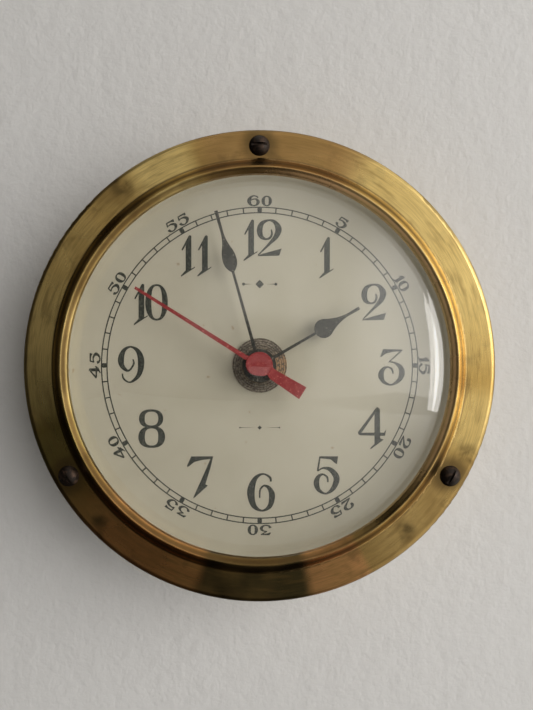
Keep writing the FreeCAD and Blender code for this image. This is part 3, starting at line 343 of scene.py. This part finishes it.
def crystal_glass():
    """Clear domed acrylic, faintly rubbed, that lets the lamps through to the dial."""
    g = Graph("crystal_glass")
    rubbed = g.noise(140.0, 4.0)
    haze = g.step(rubbed, 0.4, 0.8, 0.0, 0.03)
    ripple = g.bump(g.noise(55.0, 1.0), 0.05 * MM, 0.15)
    inputs = {
        "Base Color": (0.985, 0.985, 0.975, 1.0),
        "Roughness": haze,
        "IOR": 1.49,
        "Transmission Weight": 1.0,
        "Normal": ripple,
    }
    glass = g.add("BsdfPrincipled", inputs)
    clear = g.add("BsdfTransparent", {0: (0.95, 0.95, 0.94, 1.0)})
    lamp_ray = g.add("LightPath").outputs["Is Shadow Ray"]
    g.add("OutputMaterial", {"Surface": g.add("MixShader", {0: lamp_ray, 1: glass, 2: clear})})
    return g.material


def gasket_rubber():
    return moulded("gasket_rubber", (0.030, 0.030, 0.028), (0.055, 0.053, 0.048), 0.7, 1500.0)


def reveal_paint():
    """Satin off-white paint with light soiling along its edges."""
    g = Graph("reveal_paint")
    cloud = g.noise(90.0, 4.0)
    base = g.blend(g.step(cloud, 0.35, 0.75), (0.54, 0.515, 0.43), (0.44, 0.415, 0.33))
    gloss = g.step(g.noise(300.0, 3.0), 0.3, 0.7, 0.42, 0.6)
    g.finish(base, gloss, g.bump(g.spun(4.0, 2600.0), 0.02 * MM, 0.5))
    return g.material


def dial_paint():
    """Aged cream enamel with a faint mottle and a few brown specks."""
    g = Graph("dial_paint")
    cloud = g.noise(35.0, 4.0, distortion=0.3)
    base = g.blend(g.step(cloud, 0.3, 0.75), (0.415, 0.385, 0.308), (0.375, 0.347, 0.270))
    speck = g.step(g.noise(420.0, 1.0), 0.775, 0.80)
    base = g.blend(g.math("MULTIPLY", speck, 0.5), base, (0.25, 0.17, 0.09))
    gloss = g.step(g.noise(180.0, 3.0), 0.3, 0.7, 0.50, 0.66)
    g.finish(base, gloss, g.bump(g.noise(1400.0, 2.0), 0.012 * MM, 0.4))
    return g.material


def dial_ink():
    """Screen-printed grey-black ink, thin and speckled where the paint shows through."""
    g = Graph("dial_ink")
    cloud = g.noise(1900.0, 4.0)
    base = g.blend(g.step(cloud, 0.44, 0.72), (0.022, 0.025, 0.020), (0.080, 0.081, 0.064))
    gloss = g.step(g.noise(600.0, 2.0), 0.3, 0.7, 0.5, 0.7)
    g.finish(base, gloss, g.bump(cloud, 0.01 * MM, 0.5))
    return g.material


def washer_brass():
    """Turned brass, tarnished brown with a coppery patch on the right, cut with circular tool marks."""
    g = Graph("washer_brass")
    radius = g.across()[0]
    cuts = g.math("SINE", g.math("MULTIPLY", radius, 2.0 * math.pi / TOOL_MARK_PITCH))
    sparkle = g.noise(2200.0, 3.0)
    copper = g.math("MULTIPLY", g.toward(3.2, 48.0, 12.0), g.step(sparkle, 0.35, 0.6))
    base = g.blend(g.step(sparkle, 0.4, 0.65), (0.15, 0.128, 0.105), (0.36, 0.31, 0.25))
    base = g.blend(g.math("MULTIPLY", copper, 0.8), base, (0.52, 0.32, 0.17))
    base = g.blend(g.step(cuts, -1.0, 0.3, 0.45, 0.0), base, (0.035, 0.028, 0.022))
    gloss = g.step(sparkle, 0.3, 0.7, 0.34, 0.52)
    g.finish(base, gloss, g.bump(cuts, 0.05 * MM, 0.6), metallic=0.7)
    return g.material


def hand_paint(name, body, speckle):
    """Matte paint dusted with pale specks."""
    g = Graph(name)
    dust = g.step(g.noise(1500.0, 1.0), 0.62, 0.72)
    mottle = g.step(g.noise(1200.0, 3.0), 0.4, 0.7)
    base = g.blend(g.math("MULTIPLY", mottle, 0.18), body, speckle)
    base = g.blend(g.math("MULTIPLY", dust, 0.8), base, speckle)
    gloss = g.step(g.noise(1500.0, 2.0), 0.3, 0.7, 0.50, 0.68)
    g.finish(base, gloss, g.bump(g.noise(2600.0, 3.0), 0.02 * MM, 0.6))
    return g.material


def hand_black():
    return hand_paint("hand_black", (0.016, 0.016, 0.013), (0.20, 0.185, 0.15))


def hand_red():
    return hand_paint("hand_red", (0.20, 0.015, 0.017), (0.44, 0.13, 0.11))


def housing_plastic():
    return moulded("housing_plastic", (0.035, 0.036, 0.038), (0.055, 0.055, 0.055), 0.5, 1400.0)


def knob_plastic():
    return moulded("knob_plastic", (0.62, 0.60, 0.55), (0.50, 0.48, 0.43), 0.42, 1300.0)


def wheel_plastic():
    clean, aged = (0.72, 0.70, 0.63), (0.60, 0.57, 0.49)
    return moulded("wheel_plastic", clean, aged, 0.38, 1700.0, subsurface_weight=0.08)


def steel():
    return worn_metal("steel", (0.56, 0.56, 0.55), (0.27, 0.25, 0.23), 0.28, 1100.0, 0.35)


def can_tin():
    return worn_metal("can_tin", (0.74, 0.74, 0.73), (0.46, 0.45, 0.43), 0.18, 1300.0, 0.3)


def magnet_grey():
    return worn_metal("magnet_grey", (0.19, 0.19, 0.20), (0.09, 0.09, 0.09), 0.5, 1500.0, 0.5)


def copper_wire():
    """Enamelled copper turns lying side by side along the bobbin."""
    g = Graph("copper_wire")
    along = g.add("SeparateXYZ", {0: g.place()}).outputs[2]
    turns = g.math("SINE", g.math("MULTIPLY", along, 2.0 * math.pi / WIRE_PITCH))
    cloud = g.noise(900.0, 3.0)
    base = g.blend(g.step(cloud, 0.35, 0.7), (0.72, 0.27, 0.11), (0.45, 0.15, 0.06))
    base = g.blend(g.step(turns, -1.0, 0.2, 0.7, 0.0), base, (0.14, 0.045, 0.02))
    g.finish(base, g.step(cloud, 0.3, 0.7, 0.22, 0.36), g.bump(turns, 0.06 * MM, 0.9), metallic=0.9)
    return g.material


def board_green():
    """Green solder mask over pale tracks."""
    g = Graph("board_green")
    grid = g.add("TexBrick", {"Vector": g.place(), "Scale": 260.0, "Mortar Size": 0.03})
    tracks = g.step(grid.outputs["Fac"], 0.2, 0.8)
    base = g.blend(g.math("MULTIPLY", tracks, 0.6), (0.022, 0.16, 0.055), (0.09, 0.30, 0.11))
    mottle = g.noise(700.0, 3.0)
    base = g.blend(g.step(mottle, 0.4, 0.8, 0.0, 0.4), base, (0.012, 0.085, 0.03))
    g.finish(base, g.step(mottle, 0.3, 0.7, 0.28, 0.42), g.bump(tracks, 0.03 * MM, 0.7))
    return g.material


def chip_black():
    return moulded("chip_black", (0.020, 0.020, 0.021), (0.034, 0.034, 0.034), 0.34, 1600.0)


def cell_wrap():
    """A dry cell's printed sleeve: a red body, a black band at its button end and bare steel caps."""
    g = Graph("cell_wrap")
    low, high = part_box("battery_cell")
    along = g.add("SeparateXYZ", {0: g.place()}).outputs[0]
    share = g.step(along, low[0], high[0])
    sleeve = g.blend(g.step(share, 0.70, 0.704), (0.42, 0.045, 0.030), (0.030, 0.030, 0.034))
    scuff = g.noise(420.0, 5.0, distortion=0.5)
    sleeve = g.blend(g.step(scuff, 0.62, 0.78, 0.0, 0.5), sleeve, (0.36, 0.31, 0.27))
    inside = g.math("MULTIPLY", g.step(share, 0.002, 0.004), g.step(share, 0.9965, 0.9985, 1.0, 0.0))
    base = g.blend(inside, (0.60, 0.60, 0.58), sleeve)
    metal = g.math("SUBTRACT", 1.0, inside)
    g.finish(base, g.step(scuff, 0.3, 0.7, 0.24, 0.40), g.bump(scuff, 0.02 * MM, 0.4), metallic=metal)
    return g.material


# ================================================================ outlines of the printing
def on_dial(hour, radius, y):
    """The point at an hour of the dial, at that radius and Y."""
    angle = math.radians(30.0 * hour)
    return (radius * math.sin(angle), y, radius * math.cos(angle))


def spline(points, closed=False):
    """Points along a smooth curve through (x, y, width) points."""
    count = len(points)
    spans = count if closed else count - 1
    made = []
    for index in range(spans):
        if closed:
            a, b, c, d = (Vector(points[(index + shift) % count]) for shift in (-1, 0, 1, 2))
        else:
            a, b, c, d = (Vector(points[min(max(index + shift, 0), count - 1)]) for shift in (-1, 0, 1, 2))
        for step in range(CURVE_STEPS):
            t = step / CURVE_STEPS
            bend = (2 * a - 5 * b + 4 * c - d) * t**2
            twist = (3 * b - a - 3 * c + d) * t**3
            made.append(0.5 * (2 * b + (c - a) * t + bend + twist))
    if not closed:
        made.append(Vector(points[-1]))
    return made


def stroke(points, closed=False):
    """Faces of a brush stroke: a quadrilateral for each short run of its curve."""
    run = spline(points, closed)
    count = len(run)
    edges = []
    for index, here in enumerate(run):
        before = run[index - 1] if closed or index > 0 else here
        after = run[(index + 1) % count] if closed or index < count - 1 else here
        along = (after - before).to_2d().normalized()
        side = Vector((-along.y, along.x)) * here.z / 2
        edges.append((here.to_2d() + side, here.to_2d() - side))
    last = count if closed else count - 1
    return [
        [edges[index][0], edges[(index + 1) % count][0], edges[(index + 1) % count][1], edges[index][1]]
        for index in range(last)
    ]


def bowl(left, right, top, bottom, heavy_left, heavy_right, light):
    """A closed oval stroke, heavy at its sides and light above and below, a little fuller than an ellipse."""
    middle, level = (left + right) / 2, (top + bottom) / 2
    points = []
    for step in range(BOWL_STEPS):
        angle = 2.0 * math.pi * step / BOWL_STEPS
        across, up = math.cos(angle), math.sin(angle)
        x = middle + (right - left) / 2 * math.copysign(abs(across) ** OVAL_FULLNESS, across)
        y = level + (top - bottom) / 2 * math.copysign(abs(up) ** OVAL_FULLNESS, up)
        heavy = heavy_right if across > 0 else heavy_left
        points.append((x, y, light + (heavy - light) * across**2))
    return stroke(points, closed=True)


def area(*points):
    """One straight-sided face."""
    return [[Vector(point) for point in points]]


def numeral_0():
    return bowl(0.08, 0.52, 0.935, 0.02, 0.16, 0.15, 0.05)


def numeral_1():
    stem = area((0.28, 0.95), (0.24, 0.97), (0.207, 0.95), (0.13, 0.79), (0.13, 0.017), (0.28, 0.083))
    flag = area((0.207, 0.95), (0.017, 0.583), (0.047, 0.56), (0.13, 0.70), (0.24, 0.90))
    foot = area((0.13, 0.04), (0.0, -0.10), (0.013, -0.127), (0.373, 0.11), (0.38, 0.14), (0.28, 0.083))
    return stem + flag + foot


def numeral_2(curled=True):
    swan = [
        (0.377, 0.707, 0.035), (0.393, 0.583, 0.053), (0.337, 0.483, 0.057), (0.225, 0.452, 0.057),
        (0.105, 0.53, 0.12), (0.07, 0.70, 0.153), (0.133, 0.867, 0.113), (0.30, 0.947, 0.05),
        (0.46, 0.907, 0.093), (0.567, 0.733, 0.167), (0.51, 0.533, 0.133), (0.327, 0.327, 0.073),
        (0.027, 0.027, 0.027),
    ]
    foot = area((0.0, 0.0), (0.587, 0.013), (0.653, 0.207), (0.61, 0.19), (0.10, 0.05))
    return stroke(swan if curled else swan[4:]) + foot


def numeral_3(curled=True):
    roof = area(
        (0.133, 0.973), (0.65, 0.957), (0.627, 0.91), (0.40, 0.90), (0.20, 0.85), (0.083, 0.76), (0.05, 0.773)
    )
    slant = stroke([(0.62, 0.933, 0.035), (0.283, 0.627, 0.035)])
    belly = [
        (0.283, 0.633, 0.03), (0.44, 0.607, 0.05), (0.583, 0.493, 0.12), (0.627, 0.333, 0.15),
        (0.55, 0.15, 0.11), (0.35, 0.027, 0.05), (0.15, 0.10, 0.09), (0.073, 0.267, 0.147),
        (0.117, 0.417, 0.11), (0.233, 0.493, 0.05), (0.36, 0.44, 0.053), (0.39, 0.317, 0.04),
    ]
    return roof + slant + stroke(belly if curled else belly[:-4])


def numeral_4():
    stem = area((0.507, 1.09), (0.583, 1.04), (0.593, 0.26), (0.44, 0.117), (0.44, 0.90))
    foot = area((0.44, 0.117), (0.323, 0.0), (0.34, -0.027), (0.683, 0.227), (0.593, 0.26))
    slant = area((0.50, 1.09), (0.0, 0.42), (0.02, 0.37), (0.107, 0.42), (0.44, 0.90))
    bar = area((0.06, 0.41), (0.69, 0.413), (0.757, 0.507), (0.713, 0.327), (0.06, 0.34), (0.02, 0.37))
    return stem + foot + slant + bar


def numeral_5(curled=True):
    roof = area((0.14, 0.993), (0.63, 0.993), (0.60, 0.783), (0.557, 0.81), (0.44, 0.91), (0.147, 0.943))
    drop = stroke([(0.153, 0.983, 0.04), (0.09, 0.60, 0.045)])
    belly = [
        (0.097, 0.607, 0.03), (0.24, 0.683, 0.05), (0.44, 0.633, 0.12), (0.59, 0.417, 0.16),
        (0.50, 0.15, 0.12), (0.307, 0.01, 0.05), (0.123, 0.10, 0.10), (0.057, 0.283, 0.15),
        (0.107, 0.45, 0.10), (0.223, 0.517, 0.05), (0.34, 0.443, 0.05), (0.36, 0.31, 0.04),
    ]
    return roof + drop + stroke(belly if curled else belly[:-4])


def numeral_6(curled=True):
    stem = [
        (0.61, 0.787, 0.05), (0.583, 0.903, 0.06), (0.393, 0.987, 0.05), (0.193, 0.86, 0.12),
        (0.083, 0.527, 0.20), (0.155, 0.165, 0.14), (0.375, 0.02, 0.05), (0.585, 0.145, 0.12),
        (0.643, 0.427, 0.16), (0.56, 0.62, 0.10), (0.427, 0.677, 0.05), (0.327, 0.56, 0.05),
        (0.317, 0.353, 0.035),
    ]
    closing = [(0.27, 0.62, 0.05), (0.12, 0.48, 0.04)]
    return stroke(stem if curled else stem[:-2] + closing)


def numeral_7():
    roof = area(
        (0.123, 1.0), (0.707, 1.003), (0.633, 0.93), (0.407, 0.907), (0.207, 0.853),
        (0.04, 0.72), (0.007, 0.74),
    )
    leg = area((0.707, 1.003), (0.633, 0.693), (0.50, 0.267), (0.373, 0.343), (0.633, 0.93))
    foot = area((0.50, 0.267), (0.563, 0.227), (0.193, -0.107), (0.18, -0.083), (0.373, 0.343))
    return roof + leg + foot


def numeral_8():
    upper = bowl(0.095, 0.595, 0.983, 0.555, 0.15, 0.13, 0.06)
    lower = bowl(0.09, 0.62, 0.54, 0.025, 0.17, 0.18, 0.06)
    return upper + lower


def numeral_9():
    return stroke([
        (0.383, 0.633, 0.035), (0.403, 0.507, 0.05), (0.267, 0.33, 0.055), (0.11, 0.44, 0.12),
        (0.067, 0.64, 0.16), (0.15, 0.873, 0.10), (0.333, 0.963, 0.05), (0.523, 0.84, 0.12),
        (0.60, 0.573, 0.17), (0.54, 0.225, 0.12), (0.32, 0.028, 0.05), (0.143, 0.113, 0.045),
        (0.103, 0.257, 0.035),
    ])


NUMERALS = (
    numeral_0, numeral_1, numeral_2, numeral_3, numeral_4,
    numeral_5, numeral_6, numeral_7, numeral_8, numeral_9,
)
CURLED = (2, 3, 5, 6)
NUMERAL_WIDTHS = (0.60, 0.38, 0.653, 0.70, 0.757, 0.673, 0.727, 0.70, 0.703, 0.683)
DIGIT_GAP = 0.06
GAP_AFTER_ONE = {0: -0.073, 1: 0.053, 2: -0.02, 5: -0.05}


def written(number, spread=0.0, plain=False):
    """The faces of a number's digits side by side, centred on the origin, one unit high."""
    faces = []
    pen = 0.0
    digits = [int(letter) for letter in str(number)]
    for place, digit in enumerate(digits):
        drawn = NUMERALS[digit](curled=False) if plain and digit in CURLED else NUMERALS[digit]()
        faces += [[Vector((point.x + pen, point.y)) for point in face] for face in drawn]
        gap = spread + (GAP_AFTER_ONE.get(digits[-1], DIGIT_GAP) if digit == 1 else DIGIT_GAP)
        pen += NUMERAL_WIDTHS[digit] + (gap if place < len(digits) - 1 else 0.0)
    return [[Vector((point.x - pen / 2, point.y - 0.5)) for point in face] for face in faces]


def placed(faces, centre, size, turn=0.0):
    """Faces scaled, turned clockwise by an angle and moved to a centre."""
    cos, sin = math.cos(turn), math.sin(turn)
    return [
        [
            Vector((centre.x + size * (p.x * cos + p.y * sin), centre.y + size * (p.y * cos - p.x * sin)))
            for p in face
        ]
        for face in faces
    ]


def clock_point(turns, radius):
    """The point at that fraction of a turn clockwise from twelve o'clock."""
    angle = 2.0 * math.pi * turns
    return Vector((radius * math.sin(angle), radius * math.cos(angle)))


def hoop(radius, width):
    """The faces of a thin line round a circle."""
    faces = []
    inner, outer = radius - width / 2, radius + width / 2
    for step in range(CIRCLE_STEPS):
        start, end = step / CIRCLE_STEPS, (step + 1) / CIRCLE_STEPS
        corners = ((start, inner), (end, inner), (end, outer), (start, outer))
        faces.append([clock_point(turns, reach) for turns, reach in corners])
    return faces


def disc(centre, radius):
    return [[centre + clock_point(side / DISC_SIDES, radius) for side in range(DISC_SIDES)]]


# ================================================================ the printed pieces
def facing_front(face):
    """The face's corners in anticlockwise order, which the union below needs to know its inside."""
    crossed = [start.cross(end) for start, end in zip(face, face[1:] + face[:1])]
    return face if sum(crossed) > 0 else face[::-1]


def printed(name, faces):
    """A thin raised solid on the dial, the union of flat faces that may overlap."""
    points = []
    outlines = []
    for face in faces:
        outlines.append(list(range(len(points), len(points) + len(face))))
        points += facing_front(face)
    flat, _, triangles, _, _, sources = delaunay_2d_cdt(points, [], outlines, 0, 1e-7, True)
    kept = [tri for tri, source in zip(triangles, sources) if source]
    front = DIAL_FACE - INK_THICKNESS
    corners = [(p.x, front, p.y) for p in flat] + [(p.x, DIAL_FACE, p.y) for p in flat]
    back = len(flat)
    solid = []
    borders = {}
    for tri in kept:
        solid.append(tuple(tri))
        solid.append(tuple(corner + back for corner in reversed(tri)))
        for start, end in zip(tri, tri[1:] + tri[:1]):
            borders[(start, end)] = (end, start) not in borders
            if (end, start) in borders:
                borders[(end, start)] = False
    rim = [edge for edge, is_open in borders.items() if is_open]
    solid += [(end, start, start + back, end + back) for start, end in rim]
    mesh = bpy.data.meshes.new(name)
    mesh.from_pydata(corners, [], solid)
    mesh.validate()
    mesh.materials.append(FINISHES["dial_ink"])
    piece = bpy.data.objects.new(name, mesh)
    bpy.context.scene.collection.objects.link(piece)
    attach(piece, "case")


# How far each hour's numeral sits right and up of its place on the numeral circle, in mm.
NUMERAL_SHIFTS = {
    1: (0.8, 0.0), 2: (1.0, 0.0), 3: (1.1, -0.4), 4: (0.5, 0.0), 5: (0.95, 0.3), 6: (0.5, 0.2),
    7: (1.1, 0.2), 8: (0.7, 0.15), 9: (-0.15, 0.3), 10: (0.5, 0.0), 11: (0.1, 0.5), 12: (0.8, 0.1),
}


def hour_numerals():
    """The twelve hours, upright round the dial."""
    faces = []
    for hour, (right, up) in NUMERAL_SHIFTS.items():
        centre = clock_point(hour / 12, NUMERAL_RADIUS) + Vector((right, up)) * MM
        faces += placed(written(hour), centre, NUMERAL_HEIGHT)
    printed("dial_numerals", faces)


def minute_track():
    """Two fine lines with a tick at each minute and a round blob at each fifth."""
    faces = hoop(TRACK_OUTER, TRACK_LINE) + hoop(TRACK_INNER, TRACK_LINE)
    tick = TRACK_OUTER - TRACK_INNER
    middle = (TRACK_OUTER + TRACK_INNER) / 2
    half = TICK_WIDTH / 2
    bar = area((-half, -tick / 2), (half, -tick / 2), (half, tick / 2), (-half, tick / 2))
    for minute in range(60):
        turn = 2.0 * math.pi * minute / 60
        faces += placed(bar, clock_point(minute / 60, middle), 1.0, turn)
    for minute in range(0, 60, 5):
        for lobe in (-1, 1):
            faces += disc(clock_point(minute / 60, middle + lobe * BLOB_SPREAD), BLOB_RADIUS)
    printed("dial_minute_track", faces)


def minute_numbers():
    """Wide, heavy digits made from the hour numerals by stretching and thickening them."""
    faces = []
    for minute in range(5, 61, 5):
        turn = 2.0 * math.pi * minute / 60
        middle = clock_point(minute / 60, MINUTE_RADIUS)
        figures = written(minute, MINUTE_GAP, plain=True)
        wide = [[Vector((p.x * MINUTE_STRETCH, p.y)) for p in face] for face in figures]
        for side in range(4):
            faces += placed(wide, middle + clock_point(side / 4, MINUTE_BOLDNESS), MINUTE_HEIGHT, turn)
    printed("dial_minute_numbers", faces)


def ornaments():
    """Plain lozenge-and-bar devices above and below the centre of the dial."""
    faces = []
    for level, width, height in ORNAMENTS:
        half, thick = width / 2, height / 2
        lozenge = area((-thick, 0.0), (0.0, -thick), (thick, 0.0), (0.0, thick))
        start, flare = BAR_START * thick, BAR_THICKNESS * thick
        bar = area((start, 0.0), (half, -flare), (half, flare))
        mirrored = area((-start, 0.0), (-half, -flare), (-half, flare))
        dots = disc(Vector((half, 0.0)), END_DOT * thick) + disc(Vector((-half, 0.0)), END_DOT * thick)
        faces += placed(lozenge + bar + mirrored + dots, Vector((0.0, level)), 1.0)
    printed("dial_ornaments", faces)


# ================================================================ finishes
MAKERS = (
    bezel_brass, case_brass, plain_brass, screw_bronze, crystal_glass, gasket_rubber, reveal_paint,
    dial_paint, dial_ink, washer_brass, hand_black, hand_red, housing_plastic, knob_plastic,
    wheel_plastic, steel, can_tin, magnet_grey, copper_wire, board_green, chip_black, cell_wrap,
)
FINISHES = {maker.__name__: maker() for maker in MAKERS}


def finish_nodes():
    """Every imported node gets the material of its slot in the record."""
    for subpart in frame["record"]["subparts"]:
        mesh = frame["nodes"][subpart["node"]].data
        for index in range(len(mesh.materials)):
            mesh.materials[index] = FINISHES[subpart["material_slot"]]


# ================================================================ wall, floor, lights and camera
STAGE_HALF = 1.5
WALL_GAP = 1.0 * MM
FLOOR_LEVEL = -0.32


def staged_plane(name, material):
    """A large upright square through the origin, facing the front."""
    mesh = bpy.data.meshes.new(name)
    corners = ((-1, -1), (1, -1), (1, 1), (-1, 1))
    mesh.from_pydata([(x * STAGE_HALF, 0, z * STAGE_HALF) for x, z in corners], [], [(0, 1, 2, 3)])
    mesh.materials.append(material)
    plane = bpy.data.objects.new(name, mesh)
    bpy.context.scene.collection.objects.link(plane)
    return plane


def wall_paint():
    """Pale emulsion with a roller's texture, seen from the front only."""
    g = Graph("wall_paint")
    relief = g.noise(420.0, 4.0, roughness=0.6)
    lumps = g.noise(130.0, 3.0)
    base = g.blend(g.noise(6.0, 2.0), (0.60, 0.59, 0.575), (0.64, 0.63, 0.615))
    roller = g.bump(lumps, 0.9 * MM, 0.5, g.bump(relief, 0.3 * MM, 0.8))
    front = g.add("BsdfPrincipled", {"Base Color": base, "Roughness": 0.85, "Normal": roller})
    clear = g.add("BsdfTransparent")
    behind = g.add("NewGeometry").outputs["Backfacing"]
    g.add("OutputMaterial", {"Surface": g.add("MixShader", {0: behind, 1: front, 2: clear})})
    return g.material


def wall():
    """Just behind the clock. Lamps behind it reach the clock's back, and metal mirrors the room instead."""
    plane = staged_plane("wall", wall_paint())
    plane.location.y = WALL_GAP
    plane.visible_shadow = False
    plane.visible_glossy = False


def floor():
    paint = moulded("floor_paint", (0.56, 0.555, 0.54), (0.545, 0.54, 0.525), 0.8, 60.0)
    plane = staged_plane("floor", paint)
    plane.rotation_euler.x = -math.pi / 2
    plane.location.z = FLOOR_LEVEL
    plane.visible_glossy = False


def lamp(name, place, width, height, power, tint):
    """A rectangular area light that faces the middle of the clock's back."""
    light = bpy.data.lights.new(name, "AREA")
    light.shape = "RECTANGLE"
    light.size = width
    light.size_y = height
    light.energy = power
    light.color = tint
    holder = bpy.data.objects.new(name, light)
    holder.location = place
    holder.rotation_euler = (-Vector(place)).to_track_quat("-Z", "Y").to_euler()
    bpy.context.scene.collection.objects.link(holder)
    return holder


RINGS_ROUND_DIAL = (
    "bezel_ring", "crystal_gasket", "crystal_retaining_ring", "reveal_ring", "dial_support_ring",
)


def pass_under_bezel(light):
    """Lets a lamp past the rings round the dial, which would otherwise shade it too broadly."""
    blockers = bpy.data.collections.new("shadow_of_" + light.name)
    for node in RINGS_ROUND_DIAL:
        blockers.objects.link(frame["nodes"][node])
    for entry in blockers.collection_objects:
        entry.light_linking.link_state = "EXCLUDE"
    light.light_linking.blocker_collection = blockers


def lights():
    """A tall window to the right, daylight from the right and front, and a lamp for the back."""
    lamp("window", (0.95, -0.62, 0.20), 0.055, 1.0, 1.2, (1.0, 0.985, 0.96))
    daylight = lamp("daylight", (0.80, -0.74, 0.22), 1.1, 1.1, 12.0, (1.0, 0.985, 0.965))
    daylight.visible_glossy = False
    daylight.visible_transmission = False
    pass_under_bezel(daylight)
    lamp("behind", (0.05, 1.1, 0.2), 0.6, 0.6, 9.0, (1.0, 0.99, 0.97))


# Directions in the room that metal and glass mirror.
BRIGHT_SIDE = (0.92, 0.0, 0.38)
UPPER_LEFT = (-0.18, -0.93, 0.31)
FAINT_LOBES = (((-0.37, -0.93, 0.02), 0.11), ((-0.19, -0.93, -0.31), 0.09))
TOWARD_CAMERA = (0.0, -1.0, 0.0)
WINDOW_SIDE = (0.84, -0.50, 0.20)


def room():
    """Soft surroundings to mirror: bright to the right, dark to the left, below and behind the camera."""
    world = bpy.data.worlds.new("room")
    bpy.context.scene.world = world
    world.use_nodes = True
    g = Graph("room", world.node_tree)
    direction = g.add("TexCoord").outputs["Generated"]
    rise = g.vector("DOT_PRODUCT", direction, BRIGHT_SIDE).outputs[1]
    uneven = g.math("MULTIPLY", g.math("SUBTRACT", g.noise(3.0, 2.0, direction), 0.5), 0.16)
    glow = g.step(g.math("ADD", rise, uneven), -0.24, 0.34)
    upper_left = g.vector("DOT_PRODUCT", direction, UPPER_LEFT).outputs[1]
    glow = g.math("ADD", glow, g.step(upper_left, 0.955, 0.995, 0.0, 0.50), True)
    for lobe, strength in FAINT_LOBES:
        facing = g.vector("DOT_PRODUCT", direction, lobe).outputs[1]
        glow = g.math("ADD", glow, g.step(facing, 0.975, 0.999, 0.0, strength), True)
    ahead = g.vector("DOT_PRODUCT", direction, TOWARD_CAMERA).outputs[1]
    glow = g.math("MULTIPLY", glow, g.step(ahead, 0.945, 0.985, 1.0, 0.1))
    front = g.blend(glow, (0.022, 0.020, 0.018), (0.90, 0.88, 0.82))
    side = g.vector("DOT_PRODUCT", direction, WINDOW_SIDE).outputs[1]
    front = g.blend(g.step(side, 0.80, 0.99), front, (2.4, 2.35, 2.25))
    depth = g.add("SeparateXYZ", {0: direction}).outputs[1]
    wall_side = g.blend(g.step(rise, -0.7, 0.6), (0.035, 0.034, 0.032), (0.46, 0.45, 0.43))
    light = g.blend(g.step(depth, -0.1, 0.25), front, wall_side)
    rays = g.add("LightPath").outputs
    light = g.blend(rays["Is Camera Ray"], light, (0.50, 0.495, 0.48))
    strength = g.step(rays["Is Diffuse Ray"], 0.0, 1.0, 1.0, 0.06)
    g.add("OutputWorld", {"Surface": g.add("Background", {"Color": light, "Strength": strength})})


SENSOR_WIDTH = 36.0
FOCAL_LENGTH = 29.1
EYE = (1.9 * MM, -183.4 * MM, 2.9 * MM)


def camera():
    """Hand-held close in front of the dial, a little right of and above its middle."""
    lens = bpy.data.cameras.new("camera")
    lens.sensor_width = SENSOR_WIDTH
    lens.lens = FOCAL_LENGTH
    lens.clip_start = 0.01
    holder = bpy.data.objects.new("camera", lens)
    holder.location = EYE
    holder.rotation_euler = (math.pi / 2, 0.0, 0.0)
    bpy.context.scene.collection.objects.link(holder)
    bpy.context.scene.camera = holder


finish_nodes()
hour_numerals()
minute_track()
minute_numbers()
ornaments()
wall()
floor()
lights()
room()
camera()
bpy.context.scene.view_settings.view_transform = "Standard"
